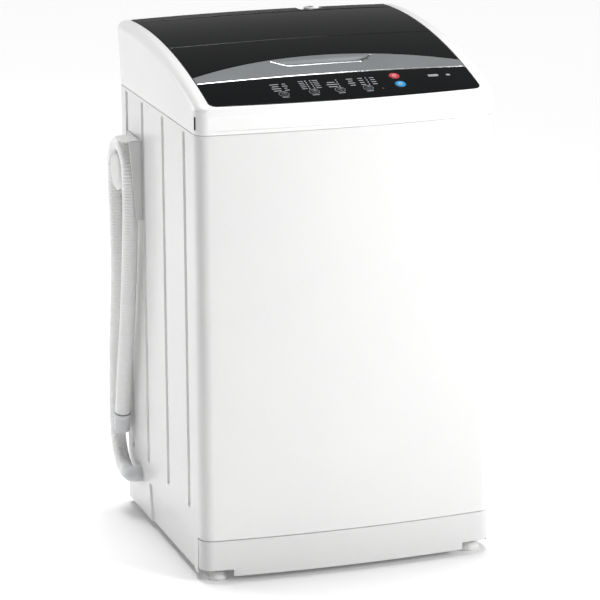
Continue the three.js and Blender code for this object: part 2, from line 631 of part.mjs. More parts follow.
// The splash collar under the mouth, screwed to the floor of the well from below.
function mouthCollar() {
  const top = WELL_Z - GAP;
  return turned([[COLLAR_R, top - COLLAR_HEIGHT], [COLLAR_R + WALL, top - COLLAR_HEIGHT], [COLLAR_R + WALL, top - WALL],
    [COLLAR_R + COLLAR_FLANGE, top - WALL], [COLLAR_R + COLLAR_FLANGE, top], [COLLAR_R, top]]);
}
piece("mouth_collar", mouthCollar(), WHITE_PLASTIC);

// ---- Control panel, keys and control board ----
const KEY_R = 9;
const KEY_CLEARANCE = 0.45;
const KEY_PROUD = 1.3;
const KEY_FLANGE = 1.6;
const SMALL_KEY_R = 6;
const KEYS = [
  ["power_key", 98, 55, KEY_R, RED_KEY],
  ["start_key", 99, 27, KEY_R, BLUE_KEY],
  ["programme_key", -101, 22, SMALL_KEY_R, DARK_KEY],
  ["water_level_key", -50, 22, SMALL_KEY_R, DARK_KEY],
  ["process_key", -6, 22, SMALL_KEY_R, DARK_KEY],
  ["delay_key", 42, 22, SMALL_KEY_R, DARK_KEY],
];

// Places a solid made about the origin on the surface, square to it.
function onDeck(made, x, back) {
  const y = FRONT_Y + back;
  const tilt = THREE.MathUtils.radToDeg(deckTilt(y));
  return made.rotate([tilt, 0, 0]).translate([x, y, deckZ(x, y)]);
}

function controlPanel() {
  const within = (inset) => planPrism({
    side: RIM_SIDE + GAP + inset, front: RIM_FRONT + GAP + inset, corner: 14 - inset,
  }, SEAM_Z, HEIGHT);
  const band = (inset, topDrop, lowDrop) => slab(LID_HALF + SIDE_GAP, () => FRONT_Y - FRONT_BOW,
    () => LID_FRONT_Y - SEAM_GAP - inset, topDrop, lowDrop).intersect(within(inset));
  const whole = band(0, 0, SEAT_DROP);
  const hollow = band(WALL, PANEL_SKIN, SEAT_DROP + 5);
  const holes = KEYS.map(([, x, back, radius]) => onDeck(post(0, 0, radius + KEY_CLEARANCE, -8, 4, 18), x, back));
  return holes.reduce((made, hole) => made.subtract(hole), whole.subtract(hollow));
}
piece("control_panel", controlPanel(), BLACK_GLOSS);

function key(radius) {
  const under = -PANEL_SKIN - 0.6;
  return turned([[0, under - KEY_FLANGE], [radius + 2, under - KEY_FLANGE], [radius + 2, under], [radius, under],
    [radius, KEY_PROUD - 0.8], [radius - 0.8, KEY_PROUD], [0, KEY_PROUD]], 18);
}
for (const [name, x, back, radius, look] of KEYS) piece(name, onDeck(key(radius), x, back), look);

const BOARD_HALF = LID_HALF - 39.5;

function controlBoard() {
  const plate = box(-BOARD_HALF, BOARD_HALF, -22, 22, -15, -13.4);
  const chips = [[-BOARD_HALF / 3, 6], [BOARD_HALF / 3, -4], [BOARD_HALF - 40, 8]].map(
    ([x, y]) => box(x - 14, x + 14, y - 10, y + 10, -22, -14.9));
  return onDeck(join([plate, ...chips]), 0, 40);
}
piece("control_board", controlBoard(), BOARD);

// ---- Folding lid: two panels with rails, hinge lugs and the silver strip ----
const SCOOP_FRONT = 38; // finger scoop, from the lid's front edge
const SCOOP_HALF_FRONT = 62;
const SCOOP_HALF_REAR = 86;
const SCOOP_DEPTH = 9;
const SCOOP_BAND = 14; // silver left behind the scoop
const LUG_IN = 24; // hinge lugs in from the lid's side
const LUG_WIDTH = 6;
const LUG_R = 4;

// Rear edge of the silver strip: lower at the sides, arched at the middle.
function stripEdge(x) {
  const share = 1 - (x / LID_HALF) ** 2;
  return LID_FRONT_Y + STRIP_EDGE_SIDE + (STRIP_EDGE_MIDDLE - STRIP_EDGE_SIDE) * share;
}

// The scoop's plan, between two drops under the surface, wider towards the rear.
function scoop(grow, topDrop, lowDrop) {
  const front = LID_FRONT_Y + SCOOP_FRONT - grow;
  const rear = LID_FRONT_Y + STRIP_EDGE_MIDDLE - SCOOP_BAND + grow;
  const flare = (SCOOP_HALF_REAR - SCOOP_HALF_FRONT) / (STRIP_EDGE_MIDDLE - SCOOP_BAND - SCOOP_FRONT);
  const plan = [front, rear].map((y) => SCOOP_HALF_FRONT + grow + flare * (y - LID_FRONT_Y - SCOOP_FRONT));
  const sides = [[-plan[0], front], [plan[0], front], [plan[1], rear], [-plan[1], rear]];
  const band = slab(LID_HALF, () => front - 1, () => rear + 1, topDrop, lowDrop, 2);
  return prism(sides, HEIGHT - 120, HEIGHT + 10).intersect(band);
}

// A pair of hinge knuckles under the fold, each on an arm to its own panel's rail.
function foldLugs(towards, inward) {
  const lugs = SIDES.map(([, across]) => {
    const x0 = across * (LID_HALF - LUG_IN - inward);
    const [a, b] = [x0, x0 - across * LUG_WIDTH].sort((p, q) => p - q);
    const rail = deckZ(x0, FOLD_Y) - SEAT_DROP + 2;
    const [far, near] = [FOLD_Y + towards * 9, FOLD_Y + towards];
    const arm = box(a, b, Math.min(far, near), Math.max(far, near), foldZ() - LUG_R, rail);
    const web = box(a, b, Math.min(far, FOLD_Y), Math.max(far, FOLD_Y), foldZ() - LUG_R, foldZ() + LUG_R - 1);
    return join([arm, web, pinAlongX(a, b, FOLD_Y, foldZ(), LUG_R)]);
  });
  return join(lugs);
}

function lidFront() {
  const whole = slab(LID_HALF, () => LID_FRONT_Y, () => FOLD_Y - SEAM_GAP / 2, 0, SEAT_DROP);
  const inner = LID_HALF - RAIL;
  const front = () => LID_FRONT_Y + RAIL;
  const rear = () => FOLD_Y - RAIL;
  const shallow = slab(inner, (x) => stripEdge(x) + 4, rear, PANEL_SKIN, SEAT_DROP + 9);
  const deep = slab(inner, front, rear, 2 * PANEL_SKIN, SEAT_DROP + 9);
  const cup = scoop(2.5, -1, SEAT_DROP);
  const pocket = slab(LID_HALF + 1, () => LID_FRONT_Y - 1, (x) => stripEdge(x) + GAP, -2, PANEL_SKIN + GAP, 3, 14);
  const body = whole.subtract(shallow.add(deep).subtract(cup)).subtract(pocket).subtract(scoop(0, -1, SCOOP_DEPTH));
  const lugs = foldLugs(-1, 0);
  const bores = SIDES.map(([, across]) => foldBore(across));
  return bores.reduce((made, bore) => made.subtract(bore), body.add(lugs));
}

function foldBore(across) {
  const outer = across * (LID_HALF - LUG_IN + 4);
  const inner = across * (LID_HALF - LUG_IN - 2 * LUG_WIDTH - 5);
  return pinAlongX(Math.min(outer, inner), Math.max(outer, inner), FOLD_Y, foldZ(), FOLD_PIN_R + 0.25);
}
piece("lid_front", lidFront(), BLACK_GLOSS);

function handleStrip() {
  const plate = slab(LID_HALF, () => LID_FRONT_Y, stripEdge, 0, PANEL_SKIN, 3, 14);
  return plate.subtract(scoop(0, -2, PANEL_SKIN + 2));
}
piece("handle_strip", handleStrip(), SILVER);

function lidRear() {
  const nose = (x) => deckZ(x, HINGE_Y) - hingeZ();
  const whole = slab(LID_HALF, () => FOLD_Y + SEAM_GAP / 2, () => HINGE_Y, 0, SEAT_DROP);
  const roll = loft(spread(-LID_HALF, LID_HALF, 8).map((x) => {
    const round = arc(HINGE_Y, hingeZ(), nose(x), Math.PI / 2, 0, 4);
    const low = [[HINGE_Y - 1, hingeZ() - 2], [HINGE_Y - 12, hingeZ() - 2], [HINGE_Y - 12, hingeZ() + nose(x) - 1]];
    return [...round, ...low].map(([y, z]) => new THREE.Vector3(x, y, z));
  }));
  const under = slab(LID_HALF + 1, () => HINGE_Y - RAIL - 4, () => HINGE_Y + 1, SEAT_DROP - 2, SEAT_DROP + 9);
  const hollow = slab(LID_HALF - RAIL, () => FOLD_Y + RAIL, () => HINGE_Y - RAIL - 6, PANEL_SKIN, SEAT_DROP + 9);
  const lugs = foldLugs(1, LUG_WIDTH + 1);
  const body = whole.subtract(under).subtract(hollow).add(roll).add(lugs);
  const bores = SIDES.map(([, across]) => foldBore(across));
  for (const [, across] of SIDES) {
    const [a, b] = [across * (LID_HALF - 10), across * (LID_HALF + 2)].sort((p, q) => p - q);
    bores.push(pinAlongX(a, b, HINGE_Y, hingeZ(), HINGE_PIN_R + 0.25));
  }
  return bores.reduce((made, bore) => made.subtract(bore), body);
}
piece("lid_rear", lidRear(), BLACK_GLOSS);

for (const [side, across] of SIDES) {
  const hinge = [across * (LID_HALF - 9), across * (HALF_W - RIM_SIDE + WALL - 0.5)].sort((a, b) => a - b);
  piece("hinge_pin_" + side, pinAlongX(hinge[0], hinge[1], HINGE_Y, hingeZ(), HINGE_PIN_R), STAINLESS);
  const fold = [across * (LID_HALF - LUG_IN + 2), across * (LID_HALF - LUG_IN - 2 * LUG_WIDTH - 3)].sort((a, b) => a - b);
  piece("fold_pin_" + side, pinAlongX(fold[0], fold[1], FOLD_Y, foldZ(), FOLD_PIN_R), STAINLESS);
}

// The fixed deck behind the lid, notched for the water inlet.
function rearDeck() {
  const nose = (x) => deckZ(x, HINGE_Y) - hingeZ();
  const front = (inset) => (x) => HINGE_Y + nose(x) + SEAM_GAP + inset;
  const half = HALF_W - RIM_SIDE - 2 * GAP;
  const whole = slab(half, front(0), () => REAR_Y, 0, LIP);
  const hollow = slab(half - WALL, front(WALL), () => REAR_Y - WALL, PANEL_SKIN, LIP + 5);
  const notch = (grow) => box(SPOUT_X - NOTCH_HALF - grow, SPOUT_X + NOTCH_HALF + grow,
    SPOUT_Y - 13 - grow, REAR_Y + 5, HEIGHT - 60, HEIGHT + 5);
  return whole.subtract(hollow.subtract(notch(WALL))).subtract(notch(0));
}
piece("rear_deck", rearDeck(), BLACK_GLOSS);

// ---- Water inlet, pressure switch, lid switch, capacitor ----
const BAY_Z = WELL_Z + WALL + GAP; // floor of the bay behind the well
const BAY_Y = (WELL_REAR_Y + HALF_D) / 2;
const BAY_HALF = (HALF_D - WELL_REAR_Y) / 2 - WALL - 1;
const SPOUT_LENGTH = 40;

function inletValve() {
  const top = HEIGHT - SPOUT_LENGTH - GAP;
  const body = box(SPOUT_X - 14, SPOUT_X + 14, BAY_Y - BAY_HALF, BAY_Y + BAY_HALF, BAY_Z, top);
  const neck = box(SPOUT_X - 9, SPOUT_X + 9, BAY_Y - BAY_HALF, SPOUT_Y + 1, top - 16, top);
  const coil = post(SPOUT_X - 30, BAY_Y, BAY_HALF, BAY_Z, BAY_Z + 30, 20);
  return join([body, neck, coil, box(SPOUT_X - 30, SPOUT_X, BAY_Y - 4, BAY_Y + 4, BAY_Z, BAY_Z + 12)]);
}
piece("inlet_valve", inletValve(), WHITE_PLASTIC);

function inletSpout() {
  const low = HEIGHT - SPOUT_LENGTH;
  const rings = [];
  for (let z = HEIGHT - 14; z < HEIGHT - 4; z += 4) rings.push([SPOUT_R - 1, z], [SPOUT_R, z + 1], [SPOUT_R, z + 2], [SPOUT_R - 1, z + 3]);
  return turned([[7, low], [SPOUT_R - 1, low], ...rings, [SPOUT_R - 1, HEIGHT], [7, HEIGHT]], 16)
    .translate([SPOUT_X, SPOUT_Y, 0]);
}
piece("inlet_spout", inletSpout(), GREY_PLASTIC);

function pressureSwitch() {
  const can = turned([[0, -BAY_HALF], [16, -BAY_HALF], [16, 2], [5, 4], [5, BAY_HALF], [0, BAY_HALF]], 24);
  return can.rotate([90, 0, 0]).translate([WELL_HALF - 45, BAY_Y, BAY_Z + 17]);
}
piece("pressure_switch", pressureSwitch(), GREY_PLASTIC);

function lidSwitch() {
  const x = -WELL_HALF + 40;
  return box(x - 20, x + 20, BAY_Y - BAY_HALF, BAY_Y + BAY_HALF, BAY_Z, BAY_Z + 24).add(post(x + 8, BAY_Y, 3, BAY_Z + 23, BAY_Z + 30, 12));
}
piece("lid_switch", lidSwitch(), WHITE_PLASTIC);

function capacitor() {
  const can = turned([[0, 0], [20, 0], [20, 70], [17, 72], [6, 72], [6, 78], [0, 78]], 24);
  const wall = REAR_PANEL_Y - SHEET - 5 - SHEET - GAP;
  return can.add(box(-12, 12, 10, 28, 20, 50)).translate([-HALF_W / 2 - 20, wall - 28, KICK_TOP + 25]);
}
piece("capacitor", capacitor(), GREY_PLASTIC);

// ---- Suspension: four rods that hang from the corners, with a spring on each cup ----
function suspensionRod(across, along) {
  const top = TUB_TOP + 22;
  const rod = post(0, 0, ROD_R, CUP_Z, top + 2, 12);
  const cup = turned([[0, CUP_Z], [CUP_R, CUP_Z], [CUP_R, CUP_Z + CUP_HEIGHT + 4], [CUP_R - 2, CUP_Z + CUP_HEIGHT + 4],
    [CUP_R - 2, CUP_Z + CUP_HEIGHT], [0, CUP_Z + CUP_HEIGHT]], 16);
  const reach = across * (ROD_IN_X - SHEET - GROOVE_DEPTH - 2 * GAP);
  const bracket = box(Math.min(reach, -across * 18), Math.max(reach, -across * 18), -18, 18, top, top + 3);
  const tab = box(Math.min(reach, reach - across * 3), Math.max(reach, reach - across * 3), -18, 18, top - 20, top + 1);
  return join([rod, cup, bracket, tab]).translate([across * ROD_X, along * ROD_Y, 0]);
}

class SpringCurve extends THREE.Curve {
  getPoint(t, target = new THREE.Vector3()) {
    const turns = 5.5;
    const angle = 2 * Math.PI * turns * t;
    const low = SPRING_LOW + 2;
    const high = SPRING_LOW + SPRING_LENGTH - 2;
    return target.set(12 * Math.cos(angle), 12 * Math.sin(angle), low + (high - low) * t);
  }
}

function suspensionSpring() {
  const section = new THREE.Shape(arc(0, 0, 1.9, 0, 2 * Math.PI * 4 / 5, 4).map(([x, y]) => new THREE.Vector2(x, y)));
  const path = new SpringCurve();
  return solid(new THREE.ExtrudeGeometry(section, { extrudePath: path, steps: 36, bevelEnabled: false }));
}
for (const [end, along] of ENDS) {
  for (const [side, across] of SIDES) {
    piece("suspension_rod_" + end + "_" + side, suspensionRod(across, along), ZINC);
    const spring = piece("suspension_spring_" + end + "_" + side, suspensionSpring(), STAINLESS);
    spring.position.set(across * ROD_X, along * ROD_Y, 0);
  }
}

// ---- Outer tub with its four lugs, and its ring cover ----
const HUB_R = 17;
const NECK_R = 38;
const DRAIN_X = -0.6 * TUB_R;
const DRAIN_Y = 0.3 * TUB_R;

function outerTub() {
  const inner = TUB_R - TUB_WALL;
  const floor = TUB_BOTTOM + TUB_WALL + 0.5;
  const shell = turned([[NECK_R + 1, TUB_BOTTOM], [TUB_R - 8, TUB_BOTTOM], [TUB_R, TUB_BOTTOM + 8], [TUB_R, TUB_TOP],
    [inner, TUB_TOP], [inner, floor + 6], [inner - 6, floor], [NECK_R + 1, floor]]);
  const lugs = [];
  const holes = [post(DRAIN_X, DRAIN_Y, 15, TUB_BOTTOM - 5, floor + 5, 20)];
  for (const [, across] of SIDES) {
    for (const [, along] of ENDS) {
      const reach = Math.hypot(ROD_X, ROD_Y);
      const turn = THREE.MathUtils.radToDeg(Math.atan2(along * ROD_Y, across * ROD_X));
      const arm = box(TUB_R - 2, reach + 14, -18, 18, LUG_Z, LUG_Z + LUG_HEIGHT);
      const web = prism([[TUB_R - 2, 0], [reach - 16, 0], [TUB_R - 2, 44]], -3, 3)
        .rotate([90, 0, 0]).translate([0, 0, LUG_Z + LUG_HEIGHT - 1]);
      lugs.push(arm.add(web).rotate([0, 0, turn]));
      holes.push(post(across * ROD_X, along * ROD_Y, ROD_R + 2, LUG_Z - 5, LUG_Z + LUG_HEIGHT + 5, 16));
    }
  }
  return holes.reduce((made, hole) => made.subtract(hole), shell.add(join(lugs)));
}
piece("outer_tub", outerTub(), TUB_PLASTIC, drum);

function tubRing() {
  const low = TUB_TOP + GAP;
  const hole = COLLAR_R + 2;
  return piece("tub_ring", turned([[hole, low], [TUB_R + GAP, low], [TUB_R + GAP, low - 16], [TUB_R + GAP + 2.5, low - 16],
    [TUB_R + GAP + 2.5, low + WALL], [hole + WALL, low + WALL], [hole + WALL, low + 14], [hole, low + 14]]), WHITE_PLASTIC, drum);
}
tubRing();

// ---- Spin basket, balance ring and hub ----
function spinBasket() {
  const outer = BASKET_R;
  const inner = BASKET_R - BASKET_WALL;
  const low = BASKET_BOTTOM;
  return turned([[HUB_R + 4, low], [outer - 10, low], [outer, low + 10], [outer, RING_BOTTOM - GAP],
    [inner, RING_BOTTOM - GAP], [inner, low + 11], [inner - 9.5, low + BASKET_WALL], [HUB_R + 4, low + BASKET_WALL]]);
}
piece("spin_basket", spinBasket(), STAINLESS, drum);

function balanceRing() {
  const outer = BASKET_R + 4;
  const inner = BASKET_R - RING_WIDTH + 4;
  return turned([[inner + 4, RING_BOTTOM], [outer, RING_BOTTOM], [outer, RING_TOP - 6], [outer - 6, RING_TOP],
    [inner + 8, RING_TOP], [inner, RING_TOP - 10], [inner, RING_BOTTOM + 8]]);
}
piece("balance_ring", balanceRing(), WHITE_PLASTIC, drum);

function basketHub() {
  const top = BASKET_BOTTOM - GAP;
  const plate = turned([[SHAFT_R + SHAFT_CLEARANCE, TUB_BOTTOM - 30], [HUB_R, TUB_BOTTOM - 30], [HUB_R, top - 10],
    [100, top - 7], [100, top], [SHAFT_R + SHAFT_CLEARANCE, top]]);
  return plate;
}
piece("basket_hub", basketHub(), CAST, drum);

function lintFilter() {
  const wall = BASKET_R - BASKET_WALL - 2;
  const z = RING_BOTTOM - 60;
  return box(-32, 32, wall - 22, wall - 4, z - 110, z).add(box(-36, 36, wall - 6, wall - 4, z - 4, z + 10));
}
piece("lint_filter", lintFilter(), WHITE_PLASTIC, drum);

// ---- Pulsator on its own shaft ----
const DISC_Z = BASKET_BOTTOM + BASKET_WALL + 6;

function pulsator() {
  const disc = turned([[SHAFT_R + 0.4, DISC_Z], [PULSATOR_R, DISC_Z], [PULSATOR_R, DISC_Z + 5],
    [0.6 * PULSATOR_R, DISC_Z + 9], [30, DISC_Z + 18], [26, DISC_Z + 24], [SHAFT_R + 0.4, DISC_Z + 24]]);
  const vanes = [];
  for (let i = 0; i < 6; i++) {
    const outer = PULSATOR_R - 8;
    const ring = (half, z, r0, r1) => [[r0, -half], [r1, -half], [r1, half], [r0, half]].map(
      ([r, w]) => new THREE.Vector3(r, w, z));
    vanes.push(loft([ring(11, DISC_Z + 2, 20, outer), ring(4, DISC_Z + 30, 24, outer - 46)]).rotate([0, 0, 60 * i]));
  }
  const bore = post(0, 0, SHAFT_R + 0.4, DISC_Z - 5, DISC_Z + 60, 24);
  return disc.add(join(vanes)).subtract(bore);
}
piece("pulsator", pulsator(), WHITE_PLASTIC, drum);
piece("pulsator_shaft", post(0, 0, SHAFT_R, TUB_BOTTOM - 25, DISC_Z + 20, 20), STAINLESS, drum);

function pulsatorScrew() {
  const seat = DISC_Z + 30 + GAP;
  return turned([[0, DISC_Z + 20 + GAP], [SHAFT_R - 1, DISC_Z + 20 + GAP], [SHAFT_R - 1, seat], [11, seat],
    [11, seat + 3], [8, seat + 5], [0, seat + 5]], 24);
}
piece("pulsator_screw", pulsatorScrew(), STAINLESS, drum);

// ---- Drive under the tub ----
const PLATE_TOP = TUB_BOTTOM - GAP;
const PLATE_LOW = PLATE_TOP - 3;
const MOTOR_TOP = PLATE_LOW - GAP;

function mountingPlate() {
  const long = PULLEY_DISTANCE + MOTOR_R + 8;
  return box(-74, long, -64, 64, PLATE_LOW, PLATE_TOP).subtract(post(0, 0, NECK_R + 1, PLATE_LOW - 1, PLATE_TOP + 1, 28));
}
piece("mounting_plate", mountingPlate(), ZINC, drum);

function gearcase() {
  const low = PULLEY_Z + PULLEY_WIDTH + 20;
  return turned([[HUB_R + 1, low + 14], [52, low + 14], [52, PLATE_LOW - 20], [66, PLATE_LOW - 8], [66, PLATE_LOW - GAP],
    [NECK_R, PLATE_LOW - GAP], [NECK_R, TUB_BOTTOM + 10], [HUB_R + 1, TUB_BOTTOM + 10]], 24)
    .add(turned([[0, low], [30, low], [52, low + 14.5], [0, low + 14.5]], 24));
}
piece("gearcase", gearcase(), CAST, drum);

const drive = new THREE.Group();
drive.position.x = PULLEY_DISTANCE;
drum.add(drive);

function motor() {
  const low = PULLEY_Z + PULLEY_WIDTH + 12;
  return turned([[0, PULLEY_Z - 4], [5, PULLEY_Z - 4], [5, low], [MOTOR_R - 8, low], [MOTOR_R, low + 8], [MOTOR_R, MOTOR_TOP - 8],
    [MOTOR_R - 8, MOTOR_TOP], [0, MOTOR_TOP]], 24);
}
piece("motor", motor(), CAST, drive);

function pulley(radius, bore) {
  const top = PULLEY_Z + PULLEY_WIDTH;
  const groove = 1.2;
  return turned([[bore, PULLEY_Z], [radius + groove, PULLEY_Z], [radius + groove, PULLEY_Z + 1.5], [radius, PULLEY_Z + 3],
    [radius, top - 3], [radius + groove, top - 1.5], [radius + groove, top], [bore, top]], 24);
}
piece("motor_pulley", pulley(MOTOR_PULLEY_R, 5.6), ZINC, drive);

function drivePulley() {
  const top = PULLEY_Z + PULLEY_WIDTH;
  const spokes = [0, 120, 240].map((turn) => post(38, 0, 13, PULLEY_Z - 1, top + 1, 12).rotate([0, 0, turn]));
  const wheel = pulley(PULLEY_R, 9).add(post(0, 0, 14, PULLEY_Z, top + 18, 24));
  return spokes.reduce((made, cut) => made.subtract(cut), wheel);
}
piece("drive_pulley", drivePulley(), ZINC, drum);

// The belt's loop round both pulleys, this far outside their grooves.
function beltLoop(out) {
  const lean = Math.acos((PULLEY_R - MOTOR_PULLEY_R) / PULLEY_DISTANCE);
  return [...arc(0, 0, PULLEY_R + out, lean, 2 * Math.PI - lean, 28),
    ...arc(PULLEY_DISTANCE, 0, MOTOR_PULLEY_R + out, -lean, lean, 12)];
}

function belt() {
  const low = PULLEY_Z + 3.5;
  const high = PULLEY_Z + PULLEY_WIDTH - 3.5;
  return prism(beltLoop(GAP + BELT_THICKNESS), low, high, [beltLoop(GAP).reverse()]);
}
piece("belt", belt(), RUBBER, drum);

function drainValve() {
  const top = TUB_BOTTOM - GAP;
  const body = turned([[0, top - 46], [22, top - 46], [22, top - 6], [16, top], [0, top]], 24);
  const pull = box(-14, 14, -60, -18, top - 40, top - 14);
  return body.add(pull).translate([DRAIN_X, DRAIN_Y, 0]);
}
piece("drain_valve", drainValve(), GREY_PLASTIC, drum);

// The tube from the valve down to the elbow, with slack for the tub's bounce.
function drainTube() {
  const top = TUB_BOTTOM - GAP - 46 - GAP;
  const end = new THREE.Vector3(-HALF_W + 14 + GAP, ELBOW_Y, ELBOW_Z);
  const path = new THREE.CatmullRomCurve3([
    new THREE.Vector3(DRAIN_X, DRAIN_Y, top), new THREE.Vector3(DRAIN_X, DRAIN_Y, top - 22),
    new THREE.Vector3(DRAIN_X - 8, DRAIN_Y + 12, ELBOW_Z + 22),
    new THREE.Vector3((DRAIN_X + end.x) / 2 - 4, (DRAIN_Y + end.y) / 2 + 8, ELBOW_Z + 4),
    end.clone().setX(end.x + 30), end,
  ], false, "centripetal");
  const section = new THREE.Shape(arc(0, 0, 12, 0, 2 * Math.PI * 11 / 12, 11).map(([x, y]) => new THREE.Vector2(x, y)));
  return solid(new THREE.ExtrudeGeometry(section, { extrudePath: path, steps: 16, bevelEnabled: false }));
}
piece("drain_tube", drainTube(), RUBBER);

export default machine;
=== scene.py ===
# A compact top load washing machine: how each of its pieces looks, in the order it is put together.
# Sizes are in millimetres, +X to the right, +Y to the back, +Z up, with the origin on the floor.
import math

import bmesh
import bpy
from mathutils import Matrix, Vector


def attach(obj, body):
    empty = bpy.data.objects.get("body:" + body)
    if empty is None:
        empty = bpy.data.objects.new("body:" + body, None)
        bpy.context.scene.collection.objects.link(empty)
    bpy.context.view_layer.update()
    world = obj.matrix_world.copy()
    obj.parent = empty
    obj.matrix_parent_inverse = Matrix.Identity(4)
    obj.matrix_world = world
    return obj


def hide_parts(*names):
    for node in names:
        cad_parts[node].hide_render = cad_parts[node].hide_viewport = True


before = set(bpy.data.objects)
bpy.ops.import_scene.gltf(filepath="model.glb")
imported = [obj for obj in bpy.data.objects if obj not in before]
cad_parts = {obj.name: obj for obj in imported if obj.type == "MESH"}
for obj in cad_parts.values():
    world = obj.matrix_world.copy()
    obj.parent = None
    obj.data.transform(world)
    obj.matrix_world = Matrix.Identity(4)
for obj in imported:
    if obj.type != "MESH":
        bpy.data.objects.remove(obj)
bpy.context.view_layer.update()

# ---- Base, kick plate and feet ----
# The machine stands on one injection moulding of white polypropylene. Its front wall is the kick plate,
# set back a little under the steel, and each corner has a block that a threaded foot screws into.
MM = 0.001
HALF_W = 255.0
HALF_D = 230.0
FRONT_Y = -HALF_D
FRONT_BOW = 15.0
CORNER_R = 24.0
REAR_CORNER_R = 8.0
BASE_Z = 10.0
KICK_TOP = 75.0
KICK_WRAP = 26.0
SEAM = 0.8


def spread(low, high, steps):
    return [low + (high - low) * i / steps for i in range(steps + 1)]


def arc(cx, cy, radius, start, end, steps):
    return [(cx + radius * math.cos(t), cy + radius * math.sin(t)) for t in spread(start, end, steps)]


def smooth(t):
    t = min(1.0, max(0.0, t))
    return t * t * (3 - 2 * t)


def bowed_front(side, front, corner):
    """The front's bow and its two corners: bow radius and centre, corner centre, and where they meet."""
    bow_r = (HALF_W ** 2 + FRONT_BOW ** 2) / (2 * FRONT_BOW) - front
    bow_y = FRONT_Y - FRONT_BOW + front + bow_r
    corner_x = HALF_W - side - corner
    corner_y = bow_y - math.sqrt((bow_r - corner) ** 2 - corner_x ** 2)
    return bow_r, bow_y, corner_x, corner_y, math.atan2(corner_x, bow_y - corner_y)


def plan(side=0, front=0, rear=0, overhang=0, corner=CORNER_R, rear_corner=REAR_CORNER_R, lines=()):
    """Plan of the cabinet, with how much each point faces sideways. lines are extra depths on the sides."""
    half = HALF_W - side
    back = HALF_D + overhang - rear
    bow_r, bow_y, corner_x, corner_y, meet = bowed_front(side, front, corner)
    turn = arc(-half + rear_corner, back - rear_corner, rear_corner, math.pi / 2, math.pi, 6)
    left = [(x, y, i / 6) for i, (x, y) in enumerate(turn)]
    depths = sorted(set(list(lines) + spread(corner_y, back - rear_corner, 12)[1:-1]), reverse=True)
    left += [(-half, y, 1) for y in depths if corner_y < y < back - rear_corner]
    turn = arc(-corner_x, corner_y, corner, math.pi, 1.5 * math.pi - meet, 10)
    left += [(x, y, 1 - i / 10) for i, (x, y) in enumerate(turn)]
    bow = arc(0, bow_y, bow_r, 1.5 * math.pi - meet, 1.5 * math.pi + meet, 44)[1:-1]
    return left + [(x, y, 0) for x, y in bow] + [(-x, y, s) for x, y, s in reversed(left)]


def grid(rows, loop=False, ring=False, capped=False, keep=None):
    """Points and faces of a lattice. loop closes each row, ring closes the rows, keep can leave faces out."""
    count = len(rows[0])
    points = [tuple(p) for row in rows for p in row]
    faces = []
    for r in range(len(rows) if ring else len(rows) - 1):
        below, above = r * count, ((r + 1) % len(rows)) * count
        for i in range(count if loop else count - 1):
            j = (i + 1) % count
            face = (below + i, below + j, above + j, above + i)
            if keep is None or keep(*[sum(points[k][a] for k in face) / 4 for a in range(3)]):
                faces.append(face)
    if capped:
        faces.append(tuple(range(count)))
        faces.append(tuple(range((len(rows) - 1) * count, len(rows) * count)))
    return points, faces


def joined(*parts):
    points, faces = [], []
    for more, shape in parts:
        faces += [tuple(i + len(points) for i in face) for face in shape]
        points += more
    return points, faces


def moved(part, x=0, y=0, z=0, matrix=None):
    place = Matrix.Translation((x, y, z)) @ (matrix or Matrix.Identity(4))
    return [tuple(place @ Vector(p)) for p in part[0]], part[1]


def rounded(corners, radius, steps=3, closed=True):
    """A line of corners with each one cut back and turned in a small curve."""
    line = [Vector(c) for c in corners]
    made_of = []
    for i, corner in enumerate(line):
        if not closed and i in (0, len(line) - 1):
            made_of.append(tuple(corner))
            continue
        before, after = line[i - 1] - corner, line[(i + 1) % len(line)] - corner
        start = corner + before.normalized() * min(radius, before.length * 0.45)
        end = corner + after.normalized() * min(radius, after.length * 0.45)
        for t in spread(0, 1, steps):
            made_of.append(tuple(start * (1 - t) ** 2 + corner * 2 * t * (1 - t) + end * t * t))
    return made_of


def around(radius, turn, z):
    return radius * math.cos(turn), radius * math.sin(turn), z


def lathe(profile, sides=64, wave=None):
    """A closed profile of radius and height, turned about Z. wave changes the radius round the turn."""
    rows = []
    for i in range(sides):
        t = 2 * math.pi * i / sides
        grow = wave(t) if wave else lambda r, z: r
        rows.append([around(grow(r, z), t, z) for r, z in profile])
    return grid(rows, loop=True, ring=True)


def inset(outline, by):
    shrunk = []
    for i, point in enumerate(outline):
        p = Vector(point)
        before = (p - Vector(outline[i - 1])).normalized()
        after = (Vector(outline[(i + 1) % len(outline)]) - p).normalized()
        a, b = Vector((-before.y, before.x)), Vector((-after.y, after.x))
        middle = a + b
        shrunk.append(tuple(p + middle * (by / max(middle.dot(a), 0.3))))
    return shrunk


def moulded(outline, low, high, edge, steps=3):
    """A solid raised from an anticlockwise outline, with its two rims rounded."""
    rows = []
    for start, end, rim, way in ((math.pi / 2, 0, low, 1), (0, math.pi / 2, high, -1)):
        for t in spread(start, end, steps):
            z = rim + way * edge * (1 - math.sin(t))
            rows.append([(x, y, z) for x, y in inset(outline, edge * (1 - math.cos(t)))])
    return grid(rows, loop=True, capped=True)


def block(x0, x1, y0, y1, z0, z1, edge=0.6, corner=1.5):
    outline = rounded([(x0, y0), (x1, y0), (x1, y1), (x0, y1)], corner)
    return moulded(outline, z0, z1, edge)


